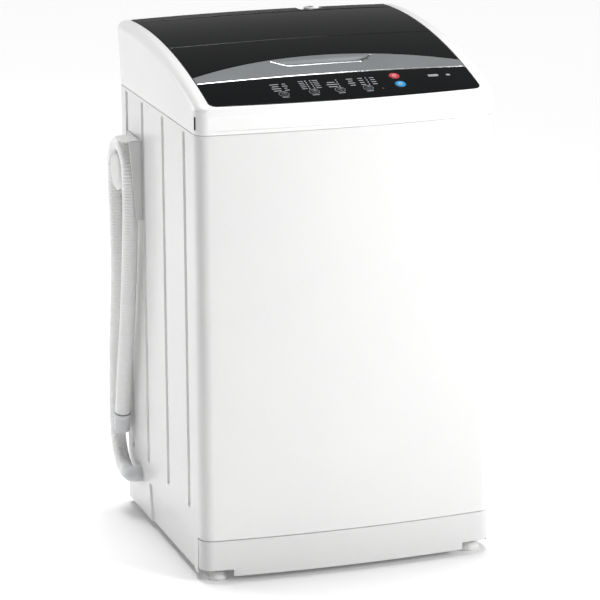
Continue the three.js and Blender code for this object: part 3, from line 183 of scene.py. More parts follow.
def made(name, part, look, body, slot, *nodes, smooth_to=32, wall=0.0):
    """One piece in metres, with its finish, the body it rides on and the CAD nodes it stands for."""
    mesh = bpy.data.meshes.new(name)
    mesh.from_pydata([Vector(p) * MM for p in part[0]], [], part[1])
    shell = bmesh.new()
    shell.from_mesh(mesh)
    bmesh.ops.remove_doubles(shell, verts=shell.verts, dist=0.02 * MM)
    bmesh.ops.recalc_face_normals(shell, faces=shell.faces)
    shell.to_mesh(mesh)
    shell.free()
    mesh.shade_smooth()
    mesh.set_sharp_from_angle(angle=math.radians(smooth_to))
    mesh.materials.append(look)
    piece = bpy.data.objects.new(name, mesh)
    bpy.context.scene.collection.objects.link(piece)
    if wall:
        sheet = piece.modifiers.new("wall", "SOLIDIFY")
        sheet.thickness = wall * MM
        sheet.offset = -1
    piece.modifiers.new("even shading", "WEIGHTED_NORMAL").keep_sharp = True
    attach(piece, body)
    if nodes:
        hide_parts(*nodes)
    return piece


def colour(code):
    """An sRGB hex value as the linear colour that a shader takes."""
    parts = [int(code[i:i + 2], 16) / 255 for i in (0, 2, 4)]
    return [c / 12.92 if c <= 0.04045 else ((c + 0.055) / 1.055) ** 2.4 for c in parts] + [1.0]


def add(tree, kind, inputs=None, **settings):
    """Adds one shader node. Each input is a value, or the socket that it is linked from."""
    node = tree.nodes.new(kind)
    for name, value in settings.items():
        setattr(node, name, value)
    for name, value in (inputs or {}).items():
        if isinstance(value, bpy.types.NodeSocket):
            tree.links.new(value, node.inputs[name])
        else:
            node.inputs[name].default_value = value
    return node


def per_mm(size):
    """Pattern scale at which one cell is this many millimetres."""
    return 1 / (size * MM)


def finish(name, dark, light, drift, grain, depth, rough, stretch=(1, 1, 1), **sockets):
    """A surface whose shade drifts between two colours over drift mm, with a grain of its own size and
    depth. rough is its lowest and highest roughness, and stretch draws the grain out along an axis."""
    look = bpy.data.materials.new(name)
    look.use_nodes = True
    tree = look.node_tree
    tree.nodes.clear()
    where = add(tree, "ShaderNodeTexCoord").outputs["Object"]
    drawn = add(tree, "ShaderNodeMapping", {"Vector": where, "Scale": stretch}).outputs["Vector"]
    cloud = add(tree, "ShaderNodeTexNoise", {"Vector": where, "Scale": per_mm(drift), "Detail": 3.0})
    fine = add(tree, "ShaderNodeTexNoise", {"Vector": drawn, "Scale": per_mm(grain), "Detail": 4.0})
    shade = add(tree, "ShaderNodeMixRGB", {
        "Fac": cloud.outputs["Fac"], "Color1": colour(dark), "Color2": colour(light)})
    sheen = add(tree, "ShaderNodeMapRange", {
        "Value": fine.outputs["Fac"], "From Min": 0.3, "From Max": 0.7,
        "To Min": rough[0], "To Max": rough[1]})
    bump = add(tree, "ShaderNodeBump", {
        "Height": fine.outputs["Fac"], "Distance": depth * MM, "Strength": 1.0})
    shader = add(tree, "ShaderNodeBsdfPrincipled", {
        "Base Color": shade.outputs["Color"], "Roughness": sheen.outputs["Result"],
        "Normal": bump.outputs["Normal"]})
    for socket, value in sockets.items():
        shader.inputs[socket.replace("_", " ")].default_value = value
    add(tree, "ShaderNodeOutputMaterial", {"Surface": shader.outputs["BSDF"]})
    return look


def dress(look, *nodes):
    """Gives CAD nodes a better material."""
    for node in nodes:
        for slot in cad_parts[node].material_slots:
            slot.material = look


# Polypropylene, injection moulded with a lightly spark eroded grain: a soft white with a broad dull shine.
white_polypropylene = finish("white_polypropylene_moulded", "dbdbdb", "e1e1e0", 60, 1.1, 0.012, (0.38, 0.48),
                             IOR=1.49)

base_side = 6.8
joint = FRONT_Y + KICK_WRAP - SEAM
skirt = [(x, y) for x, y, _ in plan(side=base_side, front=8, rear=6, lines=(126, 158)) if y > joint]
apron = [(x, y) for x, y, _ in plan(side=0.6, front=4, lines=(joint - 4,)) if y < joint]
left_skirt = [p for p in skirt if p[0] < 0]
right_skirt = [p for p in skirt if p[0] > 0]
ground = left_skirt + [(-HALF_W + 0.6, joint)] + apron + [(HALF_W - 0.6, joint)] + right_skirt
foot_cut = 203.0
notch_top = 22.0
levels = [BASE_Z, BASE_Z + 0.6, 16, notch_top, notch_top + 0.6, 40, 60.5, 61.5, 71.9, 72.9, 73.4]
tuck = {levels[0]: 0.6, levels[-1]: 0.7, levels[-2]: 0.25}


def base_wall(x, y, z):
    over_foot = abs(x) > foot_cut and z < notch_top and abs(y) > 178
    drain_slot = x < 0 and 126 < y < 158 and z > 61
    return not (over_foot or drain_slot)


base_rows = [[(x, y, z) for x, y in inset(ground, tuck.get(z, 0))] for z in levels]
made("base_moulding", grid(base_rows, loop=True, keep=base_wall), white_polypropylene, "cabinet",
     "white_plastic", "plastic_base", wall=3)

foot_x, foot_y = 222.0, 200.0
web_reach, web_half = 150, 1.2
blocks = []
for across in (-1, 1):
    for along in (-1, 1):
        x, y = across * foot_x, along * foot_y
        near, far = (y - 22, y + 24) if along < 0 else (y - 24, y + 22)
        blocks.append(block(x - 24, x + 24, near, far, notch_top, 67, 1, 5))
        left, right = sorted((x, x - across * web_reach))
        front, rear = sorted((y, y - along * web_reach))
        blocks.append(block(left, right, y - web_half, y + web_half, 30, 66, 0.5, 0.8))
        blocks.append(block(x - web_half, x + web_half, front, rear, 30, 66, 0.5, 0.8))
made("base_corner_blocks", joined(*blocks), white_polypropylene, "cabinet", "white_plastic")


# The foot is nylon with a gripped rim, and its stud is cut with a coarse thread.
nylon = finish("white_nylon_moulded", "dfe0df", "ebecea", 25, 0.8, 0.01, (0.42, 0.55), IOR=1.53)
pad = rounded([(0.2, 0.3), (17.5, 0.3), (20, 2.4), (20, 8), (14, 14), (0.2, 14)], 1.4)
thread = [(5.0 - 0.7 * (i % 2), 14 + i * 0.9) for i in range(42)]
stud = [(0.2, 13)] + thread + [(0.2, thread[-1][1])]


def grip(t):
    ribs = 0.45 * (1 - abs(math.cos(12 * t)) ** 0.5)
    return lambda r, z: r - ribs if r > 18 and 1 < z < 9 else r


for end, along in (("front", -1), ("rear", 1)):
    for side, across in (("left", -1), ("right", 1)):
        name = f"foot_{end}_{side}"
        body = "levelling_foot" if name == "foot_front_right" else "cabinet"
        part = moved(joined(lathe(pad, 96, grip), lathe(stud, 32)), across * foot_x, along * foot_y)
        made("turned_" + name, part, nylon, body, "white_plastic", name)


# ---- Steel cabinet ----
# The front and both sides are one galvanised sheet, 1 mm thick, bent round two soft corners. Tall grooves
# and a low recess are pressed into its sides to stiffen it, and white powder paint is baked on.
SEAM_Z = 755.0
GROOVE_WIDTH = 15.0
GROOVE_DEPTH = 5.5
GROOVES_BACK = (73, 198, 322, 420)
groove_low, groove_top = 111.0, SEAM_Z - 4
recess_front, recess_rear = FRONT_Y + 58, FRONT_Y + 322
sheet_foot = BASE_Z + 2
return_flange = 20.0


def pressed(y, z):
    """How deep the side sheet is pressed in at this depth and height."""
    deep = 0.0
    ends = smooth((z - groove_low) / 8) * smooth((groove_top - z) / 8)
    for back in GROOVES_BACK:
        off = abs(y - (FRONT_Y + back))
        deep = max(deep, GROOVE_DEPTH * smooth((GROOVE_WIDTH / 2 - off) / 1.4) * ends)
    rise = (z - (BASE_Z - 8)) / (KICK_TOP + 3 - (BASE_Z - 8))
    front = recess_front - 14 * (1 - rise)
    rear = recess_rear - 17 * (1 - rise)
    low_edge = min(y - front, rear - y, KICK_TOP + 3 - z)
    return max(deep, 3.5 * smooth(low_edge / 2.5))


across_groove = [-8.1, -7.5, -7.15, -6.8, -6.45, -6.1, -5.5, 0, 5.5, 6.1, 6.45, 6.8, 7.15, 7.5, 8.1]
side_lines = [FRONT_Y + back + step for back in GROOVES_BACK for step in across_groove]
slanted = spread(recess_front - 15, recess_front + 4, 19) + spread(recess_rear - 21, recess_rear + 1, 22)
side_lines += slanted + [FRONT_Y + KICK_WRAP]
clear_lines = []
for y in sorted(side_lines):
    if not clear_lines or y - clear_lines[-1] > 0.3:
        clear_lines.append(y)
heights = [sheet_foot, sheet_foot + 0.8, 20, 30, 40, 50, 60, 66, 69, 71, 73]
heights += [KICK_TOP, KICK_TOP + 0.5, 76.2, 78, 90]
heights += [groove_low + step for step in (0, 1.5, 3, 4.5, 6, 8)] + spread(140, 720, 10)
heights += [groove_top - step for step in (8, 6, 4.5, 3, 1.5, 0)] + [753.4, 754.4, SEAM_Z]
curl = {SEAM_Z: 0.8, 754.4: 0.25, sheet_foot: 0.5}
sheet_rows = []
for z in heights:
    row = [(-HALF_W + return_flange, HALF_D, z)]
    for x, y, sideways in plan(lines=clear_lines):
        side = math.copysign(1, x)
        push = pressed(y, z) if sideways == 1 else 0
        inward = curl.get(z, 0)
        if z in (KICK_TOP, KICK_TOP + 0.5) and y < FRONT_Y + KICK_WRAP - 1:
            inward = 0.7 if z == KICK_TOP else 0.2
        backward = inward * (1 - sideways) if y < 0 else 0
        row.append((x - side * (push + inward * sideways), y + backward, z))
    sheet_rows.append(row + [(HALF_W - return_flange, HALF_D, z)])


def above_kick(x, y, z):
    return not (z < KICK_TOP and y < FRONT_Y + KICK_WRAP)


# Powder paint on steel: a hard even white, with the faint orange peel that the baked coat dries to.
powder_paint = finish("white_powder_paint_baked", "e1e1e1", "e6e6e5", 140, 2.6, 0.01, (0.27, 0.33),
                      IOR=1.52, Coat_Weight=0.35, Coat_Roughness=0.12)
made("steel_wrap", grid(sheet_rows, keep=above_kick), powder_paint, "cabinet", "white_paint",
     "cabinet_wrap", smooth_to=40, wall=1)


# ---- Rear panel and cord gland ----
# A second painted sheet closes the back. Two broad pads are pressed into it against drumming, and
# plated screws hold it to the wrap's flanges. A rubber gland fills the hole for the supply cord.
rear_y = HALF_D - 1.3
panel_half = HALF_W - REAR_CORNER_R - 1
panel_low, panel_high = BASE_Z + 8, SEAM_Z - 3
pads = ((panel_low + 60, SEAM_Z / 2 - 30), (SEAM_Z / 2 + 30, panel_high - 60))
pad_half = panel_half - 60


def pad_depth(x, z):
    edges = [min(pad_half - abs(x), z - low, high - z) for low, high in pads]
    return 5 * smooth(max(edges) / 8)


def pad_lines(low, high, ends):
    lines = [low, low + 0.8, high - 0.8, high] + spread(low + 20, high - 20, 10)
    for start, way in ends:
        lines += [start + way * step for step in (-1, 0, 1.3, 2.6, 4, 5.4, 6.7, 8, 9)]
    return sorted(set(lines))


xs = pad_lines(-panel_half, panel_half, ((-pad_half, 1), (pad_half, -1)))
pad_ends = [end for low, high in pads for end in ((low, 1), (high, -1))]
zs = pad_lines(panel_low, panel_high, pad_ends)
rear_rows = [[(x, rear_y - pad_depth(x, z), z) for x in xs] for z in zs]
turned_in = [[(x, rear_y - 11, z) for x in xs] for z in (zs[0], zs[-1])]
made("rear_sheet", grid([turned_in[0]] + rear_rows + [turned_in[1]]), powder_paint, "cabinet", "white_paint",
     "rear_panel", wall=1)

facing_back = Matrix.Rotation(-math.pi / 2, 4, "X")
gland_x, gland_z = HALF_W - 75, 130
# Nitrile rubber, moulded matt, that picks up a grey bloom of dust.
rubber = finish("black_rubber_moulded", "161616", "242424", 18, 0.7, 0.02, (0.62, 0.82), IOR=1.52)
collar = [(0.2, -6), (8, -6), (8, 0), (12, 0), (12, 3), (9, 6), (9, 7.5), (5, 7.5), (4, 5), (0.2, 5)]
gland = moved(lathe(rounded(collar, 0.8, 2), 48), gland_x, rear_y + 0.3, gland_z, facing_back)
made("gland_grommet", gland, rubber, "cabinet", "rubber", "cord_gland")

# Zinc plating over steel: a cool grey metal with a fine even grain.
zinc_plate = finish("zinc_plated_steel", "9a9fa3", "b3b7ba", 9, 0.9, 0.006, (0.3, 0.46), Metallic=0.9)
head = [(0.2, -1.6), (1.6, -1.6), (1.6, 0), (3.6, 0), (3.6, 0.7), (2.8, 1.3), (1.1, 1.3), (0.9, 0.4),
        (0.2, 0.4)]
screw = lathe(rounded(head, 0.25, 2), 24)
screw_places = [(across * (panel_half - 10), z) for z in (panel_low + 14, 150, 290, 430, 570, panel_high - 14)
                for across in (-1, 1)]
screw_places += [(x, panel_high - 10) for x in (-120, 0, 120)]
screws = [moved(screw, x, rear_y, z, facing_back) for x, z in screw_places]
made("rear_screws", joined(*screws), zinc_plate, "cabinet", "zinc")


# ---- Drive under the tub ----
# A motor turns the basket and the pulsator through a rubber belt and a cast gearcase. They hang from a
# plated steel plate under the tub, and the drain valve beside them empties into a rubber tube.
# Die cast aluminium: a dull grey skin, slightly cloudy from the mould.
cast_aluminium = finish("cast_aluminium_raw", "7b7e82", "92959a", 14, 1.6, 0.03, (0.42, 0.62), Metallic=0.75)
# Polypropylene in grey, moulded plain.
grey_polypropylene = finish("grey_polypropylene_moulded", "d6d8da", "e0e2e3", 30, 1.0, 0.012, (0.42, 0.55),
                            IOR=1.49)
dress(zinc_plate, "mounting_plate", "drive_pulley", "motor_pulley")
dress(cast_aluminium, "gearcase", "basket_hub")
dress(rubber, "belt", "drain_tube")
dress(grey_polypropylene, "drain_valve")
motor_x, motor_r, motor_low, motor_high = 138, 52, 110, 201.4
ribs = []
for i in range(9):
    z = motor_low + 18 + i * 7
    ribs += [(motor_r - 2.5, z), (motor_r - 2.5, z + 3.5), (motor_r, z + 3.5), (motor_r, z + 7)]
can = [(0.2, 80), (5, 80), (5, motor_low), (motor_r - 8, motor_low), (motor_r, motor_low + 8)] + ribs
can += [(motor_r, motor_high - 8), (motor_r - 8, motor_high), (0.2, motor_high)]
made("motor_body", moved(lathe(rounded(can, 1), 64), motor_x), cast_aluminium, "tub", "cast", "motor")


# ---- Tub and suspension ----
# The tub that holds the water is thick grey-white polypropylene. It hangs on four plated rods from the
# corners of the cabinet, each with a spring steel coil between the rod's cup and a lug on the tub.
tub_polypropylene = finish("tub_polypropylene_moulded", "cdd1d3", "d8dbdd", 45, 1.4, 0.02, (0.4, 0.52),
                           IOR=1.49)
# Cold drawn spring steel: bright, with drawing lines too fine to see one by one.
spring_steel = finish("spring_steel_drawn", "b9bcbf", "cbcdd0", 6, 0.6, 0.003, (0.22, 0.34), Metallic=1.0)
dress(tub_polypropylene, "outer_tub")
for end in ("front", "rear"):
    for side in ("left", "right"):
        dress(zinc_plate, f"suspension_rod_{end}_{side}")
        dress(spring_steel, f"suspension_spring_{end}_{side}")
TUB_R, TUB_TOP, COLLAR_R = 206, 690, 158
hole = COLLAR_R + 2
low = TUB_TOP + 0.3
skirt_in, skirt_out = TUB_R + 0.3, TUB_R + 2.8
ring = [(hole, low), (skirt_in, low), (skirt_in, low - 16), (skirt_out, low - 16), (skirt_out, low + 3),
        (hole + 3, low + 3), (hole + 3, low + 14), (hole, low + 14)]
made("tub_ring_cover", lathe(rounded(ring, 1), 120), white_polypropylene, "tub", "white_plastic", "tub_ring")


# ---- Spin basket ----
# The basket is rolled from stainless sheet and punched all over, so the water can leave when it spins.
# A balance ring of white plastic, filled with brine, is locked on its rim.
BASKET_R, basket_low, ring_low = 186, 236, 640
# Brushed stainless steel: bright, with fine lines running round the basket.
stainless = finish("stainless_steel_brushed", "babdbf", "cdd0d2", 40, 5, 0.006, (0.2, 0.34),
                   stretch=(0.25, 0.25, 6), Metallic=1.0)
hole_columns, hole_rows, hole_r = 72, 22, 2.1
rise = (ring_low - 12 - basket_low - 14) / hole_rows
basket_points, basket_faces = [], []
for row in range(hole_rows):
    for column in range(hole_columns):
        middle = 2 * math.pi * (column + 0.5) / hole_columns
        half_turn = math.pi / hole_columns
        z = basket_low + 14 + (row + 0.5) * rise
        punched = (column % 6 not in (0, 5)) and (row + column) % 2 == 0
        start = len(basket_points)
        rim = [(1, 0), (1, 1), (0, 1), (-1, 1), (-1, 0), (-1, -1), (0, -1), (1, -1)]
        for a, b in rim:
            t = middle + a * half_turn
            basket_points.append(around(BASKET_R, t, z + b * rise / 2))
        if not punched:
            basket_faces.append(tuple(range(start, start + 8)))
            continue
        for k in range(8):
            turn = math.pi * k / 4
            t = middle + hole_r * math.cos(turn) / BASKET_R
            basket_points.append(around(BASKET_R, t, z + hole_r * math.sin(turn)))
        for k in range(8):
            basket_faces.append((start + k, start + (k + 1) % 8, start + 8 + (k + 1) % 8, start + 8 + k))
top_band = [(BASKET_R, ring_low - 12), (BASKET_R, ring_low - 0.3)]
dish = rounded([(BASKET_R, basket_low + 14), (BASKET_R, basket_low), (21, basket_low)], 10, 6, closed=False)


def half_turned(profile):
    """Profile points turned with two steps to each column of holes, so that the wall's points meet."""
    rows = []
    for i in range(2 * hole_columns):
        t = math.pi * i / hole_columns
        rows.append([around(r, t, z) for r, z in profile])
    return grid(rows, ring=True)


basket = joined((basket_points, basket_faces), half_turned(top_band), half_turned(dish))
made("punched_basket", basket, stainless, "basket", "stainless", "spin_basket", wall=1.2)
ring_top = 682
inner = BASKET_R - 28
hoop = [(inner + 4, ring_low), (BASKET_R + 4, ring_low), (BASKET_R + 4, ring_top - 6),
        (BASKET_R - 2, ring_top), (inner + 8, ring_top), (inner, ring_top - 10), (inner, ring_low + 8)]
made("balance_hoop", lathe(rounded(hoop, 3, 4), 120), white_polypropylene,
     "basket", "white_plastic", "balance_ring")

trap_front, trap_back = BASKET_R - 3.5 - 22, BASKET_R - 3.5 - 4
trap_low, trap_top = ring_low - 170, ring_low - 60
slats = [block(-32, 32, trap_front + 6, trap_back, trap_low, trap_top, 1.5, 4),
         block(-36, 36, trap_back - 2, trap_back, trap_top - 4, trap_top + 10, 0.8, 0.9)]
for i in range(9):
    x = -26 + i * 6.5
    slats.append(block(x - 1, x + 1, trap_front, trap_front + 8, trap_low + 8, trap_top - 10, 0.6, 0.9))
made("lint_trap", joined(*slats), white_polypropylene, "basket", "white_plastic", "lint_filter")


# ---- Pulsator ----
# The pulsator at the bottom stirs the laundry: one disc of white plastic with six smooth vanes, held on
# its steel shaft by a stainless screw.
DISC_Z, PULSATOR_R, SHAFT_R = 243.5, 152, 8
dress(stainless, "pulsator_shaft")


def vane_height(r, turn):
    hub = smooth((70 - r) / 45)
    base = 5 + 4 * smooth((0.98 * PULSATOR_R - r) / 60) + 11 * hub + 6 * smooth((30 - r) / 6)
    ridge = max(0.0, math.cos(3 * turn)) ** 10 * smooth((r - 18) / 12) * smooth((PULSATOR_R - 6 - r) / 60)
    return max(base, base + ridge * (24 - 10 * hub))


radii = [SHAFT_R + 0.4, 12, 18, 24, 27, 30, 36, 44] + spread(54, PULSATOR_R - 10, 9)
radii += [PULSATOR_R - step for step in (5, 2, 0.6)]
pulsator_rows = []
for i in range(144):
    turn = 2 * math.pi * i / 144
    crown = [around(r, turn, DISC_Z + vane_height(r, turn)) for r in radii]
    rim = [around(PULSATOR_R, turn, DISC_Z + h) for h in (4, 0.6)]
    under = [around(r, turn, DISC_Z) for r in (PULSATOR_R - 1, SHAFT_R + 0.4)]
    pulsator_rows.append(crown + rim + under)
made("pulsator_disc", grid(pulsator_rows, loop=True, ring=True), white_polypropylene,
     "pulsator", "white_plastic", "pulsator")
seat = DISC_Z + 30.3
cap = [(0.2, seat - 9.7), (7, seat - 9.7), (7, seat), (11, seat), (11, seat + 3), (8.5, seat + 5),
       (3, seat + 5), (2.6, seat + 2.4), (0.2, seat + 2.4)]
made("pulsator_cap_screw", lathe(rounded(cap, 0.6, 2), 48), stainless,
     "pulsator", "stainless", "pulsator_screw")


# ---- Top cover ----
# One large moulding in white ABS makes the white rim, the recess that the lid lies in and the well under
# it. It snaps over the top of the steel, and its front wears a shallow sunk band.
HEIGHT = 867.0
DECK_R = 1280.0
APEX_Y = 170.0
CROWN = 4.0
RIM_SIDE, RIM_FRONT = 24.0, 5.0
LEDGE, LIP, WALL = 6.0, 12.0, 3.0
SHOULDER_SIDE, SHOULDER_FRONT = 14.0, 4.0
REAR_OVERHANG = 15.0
REAR_Y = HALF_D + REAR_OVERHANG
LID_FRONT_Y, FOLD_Y, HINGE_Y = -152.0, 8.0, 197.0


def deck_z(x, y):
    """Height of the arched, crowned top at a place."""
    return HEIGHT - (DECK_R - math.sqrt(DECK_R ** 2 - (y - APEX_Y) ** 2)) - CROWN * (x / HALF_W) ** 2


# ABS, injection moulded and polished: a clean white with a soft reflection and hardly any grain.
white_abs = finish("white_abs_moulded", "efefef", "f5f5f4", 120, 1.6, 0.006, (0.28, 0.34), IOR=1.53)
cover_rows = []


def cover_ring(side_in, end_in, side_drop, end_drop, overhang=REAR_OVERHANG, height=None):
    corner = max(CORNER_R - min(side_in, 2 * end_in), 9)
    rear_corner = max(REAR_CORNER_R - min(side_in, end_in), 4)
    row = []
    for x, y, s in plan(side_in, end_in, end_in, overhang, corner, rear_corner):
        drop = end_drop + (side_drop - end_drop) * s
        z = deck_z(x, y) - drop
        if height is not None:
            z = min(height, z - 1.5)
        row.append((x, y, z))
    cover_rows.append(row)


def band_ring(height, sunk):
    """A level ring of the skirt. The front is sunk between two short uprights near the corners."""
    lean = REAR_OVERHANG * (height - SEAM_Z) / COVER_RISE
    row = []
    for x, y, s in plan(overhang=lean):
        inner = smooth((226 - abs(x)) / 3) if y < 0 and s < 1 else 0
        z = min(height, deck_z(x, y) - SHOULDER_FRONT - (SHOULDER_SIDE - SHOULDER_FRONT) * s - 1)
        row.append((x, y + sunk * inner, z))
    cover_rows.append(row)


COVER_RISE = 95.0
cover_ring(0.8, 0.8, 0, 0, 0, SEAM_Z + 0.3)
cover_ring(0.2, 0.2, 0, 0, 0.1, SEAM_Z + 0.8)
for above_seam, sunk in ((1.6, 0), (6, 0), (7, 0.9), (28, 0.9), (29, 0), (31, 0)):
    band_ring(SEAM_Z + above_seam, sunk)
for turn in spread(0, math.pi / 2, 9):
    inward, drop = 1 - math.cos(turn), 1 - math.sin(turn)
    cover_ring(SHOULDER_SIDE * inward, SHOULDER_FRONT * inward, SHOULDER_SIDE * drop, SHOULDER_FRONT * drop)
# Each further ring's place past the rim, at the sides and the ends, and its drops below the deck there.
for side_past, end_past, side_drop, end_drop in (
        (-0.8, -0.5, 0, 0), (-0.2, -0.1, 0.3, 0.2), (0, 0, 0.9, 0.8), (0, 0, LIP - 1, LIP - 1),
        (1, 1, LIP, LIP), (LEDGE, LEDGE, LIP, LIP), (LEDGE, LEDGE, LIP + WALL, LIP + WALL),
        (-WALL, -0.4, LIP + WALL, LIP + WALL),
        (SHOULDER_SIDE - RIM_SIDE, -1.5, WALL, LIP + WALL + 1.2),
        (WALL - RIM_SIDE, WALL - RIM_FRONT, SHOULDER_SIDE + 1, LIP + WALL + 2)):
    cover_ring(RIM_SIDE + side_past, RIM_FRONT + end_past, side_drop, end_drop)
cover_ring(WALL, WALL, 0, 0, 0, SEAM_Z + 0.3)
made("cover_frame", grid(cover_rows, loop=True, ring=True), white_abs, "cabinet", "white_plastic",
     "top_cover", smooth_to=38)
# A thin block of black rubber sits in the short slot in the skirt's left side. It is painted shade for the
# dark inside of the open slot, which is not cut into the cover frame.
slot_y = FRONT_Y + 13
slot_shade = block(-HALF_W + 0.4, -HALF_W + 2.6, slot_y - 1.7, slot_y + 1.7, SEAM_Z + 8, SEAM_Z + 29, 0.2, 0.6)
made("side_slot_painted_shade", slot_shade, rubber, "cabinet", "rubber")

WELL_Z, WELL_HALF = 767.0, 225.0
well_front, well_rear = LID_FRONT_Y + 6, HINGE_Y + 11
square = rounded([(-WELL_HALF, well_front), (WELL_HALF, well_front),
                  (WELL_HALF, well_rear), (-WELL_HALF, well_rear)], 26, 6)
even = []
for i, corner in enumerate(square):
    after = square[(i + 1) % len(square)]
    steps = max(1, int(math.dist(corner, after) / 14))
    even += [(corner[0] + (after[0] - corner[0]) * t, corner[1] + (after[1] - corner[1]) * t)
             for t in spread(0, 1, steps)[:-1]]


def well_ring(share, height=None, in_by=0.0):
    row = []
    for x, y in inset(even, in_by):
        reach = math.hypot(x, y)
        near = COLLAR_R + 0.4 + share * max(0.0, reach - COLLAR_R - 0.4)
        px, py = x * near / reach, y * near / reach
        row.append((px, py, height if height is not None else deck_z(px, py) - LIP - 0.4))
    return row


well_rows = [well_ring(share, WELL_Z + rise)
             for share, rise in ((0, 0.2), (0, 4.2), (0.04, 5), (0.12, 5), (0.2, 3.2), (0.6, 3))]
well_rows.append(well_ring(1, WELL_Z + 3, 9))
well_rows += [well_ring(1, WELL_Z + 3 + 8 * (1 - math.cos(t)), 8 * (1 - math.sin(t)))
              for t in spread(0.3, math.pi / 2, 4)]
well_rows.append(well_ring(1))
made("cover_well", grid(well_rows, loop=True), white_abs, "cabinet", "white_plastic", wall=2)

collar_top = WELL_Z - 0.3
splash = [(COLLAR_R, collar_top - 40), (COLLAR_R + 3, collar_top - 40), (COLLAR_R + 3, collar_top - 3),
          (COLLAR_R + 10, collar_top - 3), (COLLAR_R + 10, collar_top), (COLLAR_R, collar_top)]
made("splash_collar", lathe(rounded(splash, 1), 120), white_abs, "cabinet", "white_plastic", "mouth_collar")


# ---- Water inlet and switches ----
# Behind the well sit the inlet valve with its threaded spout, the pressure switch that feels
# the water level, and the lid switch. The motor's capacitor is clipped lower down, on the rear panel.
dress(white_polypropylene, "inlet_valve", "lid_switch")
dress(grey_polypropylene, "pressure_switch", "capacitor")
notch_x, notch_half = 88.0, 21.5
spout_x, spout_y, spout_r = notch_x, REAR_Y - 12, 10.5
turns = []
for i in range(7):
    z = HEIGHT - 19 + i * 2.1
    turns += [(spout_r - 1, z), (spout_r, z + 0.7), (spout_r, z + 1.1), (spout_r - 1, z + 1.8)]
spout = [(7, HEIGHT - 40), (spout_r - 1, HEIGHT - 40)] + turns
spout += [(spout_r - 1, HEIGHT - 0.8), (spout_r - 1.6, HEIGHT), (7, HEIGHT)]
made("threaded_spout", moved(lathe(spout, 48), spout_x, spout_y), grey_polypropylene,
     "cabinet", "grey_plastic", "inlet_spout")


# ---- Control panel ----
# A gloss black panel fills the front of the recess. Its marks are printed on, small lamps shine through
# beside them, and the keys stand up from it, over a circuit board.
PANEL_SKIN, SEAT_DROP, RAIL = 3.2, 11.5, 8.0
LID_HALF = HALF_W - RIM_SIDE - 1.5
edge_steps = [(0, 1.1), (0.12, 0.62), (0.4, 0.22), (0.75, 0.05), (1.1, 0)]


def edge_lines(rail=RAIL):
    return [step for step, _ in edge_steps] + [rail - 0.6, rail + 0.6]


def ends_in(half, between, rail=RAIL):
    """Positions across a panel: close together over its two rounded edges and at its rails."""
    near = edge_lines(rail)
    return [-half + step for step in near] + between + [half - step for step in reversed(near)]


def fall(distance):
    """How far the rounded edge has dropped at a distance from the panel's side."""
    for (near, near_fall), (far, far_fall) in zip(edge_steps, edge_steps[1:]):
        if distance <= far:
            return near_fall + (far_fall - near_fall) * (distance - near) / (far - near)
    return 0.0


def deck_panel(half, between, front_at, rear_at, rows_between, rail=RAIL, seat=SEAT_DROP):
    """A skin that follows the arched top between two depths, with rails under its four edges."""
    sections = []
    for x in ends_in(half, between, rail):
        start, stop = front_at(x), rear_at(x)
        near = edge_lines(rail)
        ys = [start + n for n in near] + rows_between(x) + [stop - n for n in reversed(near)]
        beside = half - abs(x)
        upper, lower = [], []
        for y in ys:
            off = min(y - start, stop - y)
            over = deck_z(x, y)
            upper.append((x, y, over - max(fall(off), fall(beside))))
            railed = off < rail or beside < rail
            lower.append((x, y, over - (seat if railed else PANEL_SKIN)))
        sections.append(upper + lower[::-1])
    return grid(sections, loop=True, capped=True)


def corner_front(x, side, front, corner):
    """Front edge of the bowed plan with its rounded corners."""
    bow_r, bow_y, corner_x, corner_y, meet = bowed_front(side, front, corner)
    if abs(x) < corner_x + corner * math.sin(meet):
        return bow_y - math.sqrt(bow_r ** 2 - x ** 2)
    return corner_y - math.sqrt(max(0.0, corner ** 2 - (abs(x) - corner_x) ** 2))


# Gloss black ABS: nearly a mirror under a faint haze, so it shows the room as a soft grey gradient.
gloss_black = finish("gloss_black_abs", "141516", "18191a", 90, 2.4, 0.002, (0.07, 0.1), IOR=1.53,
                     Coat_Weight=0.4, Coat_Roughness=0.06)
KEYS = (("power_key", 98, 55, 9), ("start_key", 99, 27, 9), ("programme_key", -101, 22, 6),
        ("water_level_key", -50, 22, 6), ("process_key", -6, 22, 6), ("delay_key", 42, 22, 6))
panel_side_half = LID_HALF + 1.2
curved = [panel_side_half - 14 * (1 - math.cos(t)) for t in spread(0.35, math.pi / 2, 8)]
curved = [x for x in curved if x < panel_side_half - 9]
across_panel = sorted([-x for x in curved] + spread(-210, 210, 60) + curved)


def panel_front(x):
    return corner_front(x, RIM_SIDE + 0.3, RIM_FRONT + 0.3, 14)


panel_part = deck_panel(panel_side_half, across_panel, panel_front, lambda x: LID_FRONT_Y - SEAM,
                        lambda x: spread(panel_front(x) + 10, LID_FRONT_Y - 11, 8))
made("panel_skin", panel_part, gloss_black, "cabinet", "black_gloss", "control_panel")


def on_deck(x, back):
    """Frame of a thing that stands square on the arched top, this far behind the front edge."""
    y = FRONT_Y + back
    slope = math.asin((APEX_Y - y) / DECK_R)
    return Matrix.Translation((x, y, deck_z(x, y))) @ Matrix.Rotation(slope, 4, "X")


# Printing ink on the gloss skin: a flat pale grey, thick enough to catch an edge of light.
print_ink = finish("pale_grey_printing_ink", "8b8e91", "a3a6a8", 6, 0.5, 0.004, (0.5, 0.62), IOR=1.5)


def mark(x, back, wide, deep, corner=0.5):
    w, d = wide / 2, deep / 2
    outline = rounded([(-w, -d), (w, -d), (w, d), (-w, d)], corner, 2)
    return moved(moulded(outline, -0.3, 0.12, 0.05, 1), matrix=on_deck(x, back))


def hoop_mark(x, back, radius, line=0.9):
    band = [(radius - line, -0.3), (radius, -0.3), (radius, 0.12), (radius - line, 0.12)]
    return moved(lathe(band, 40), matrix=on_deck(x, back))


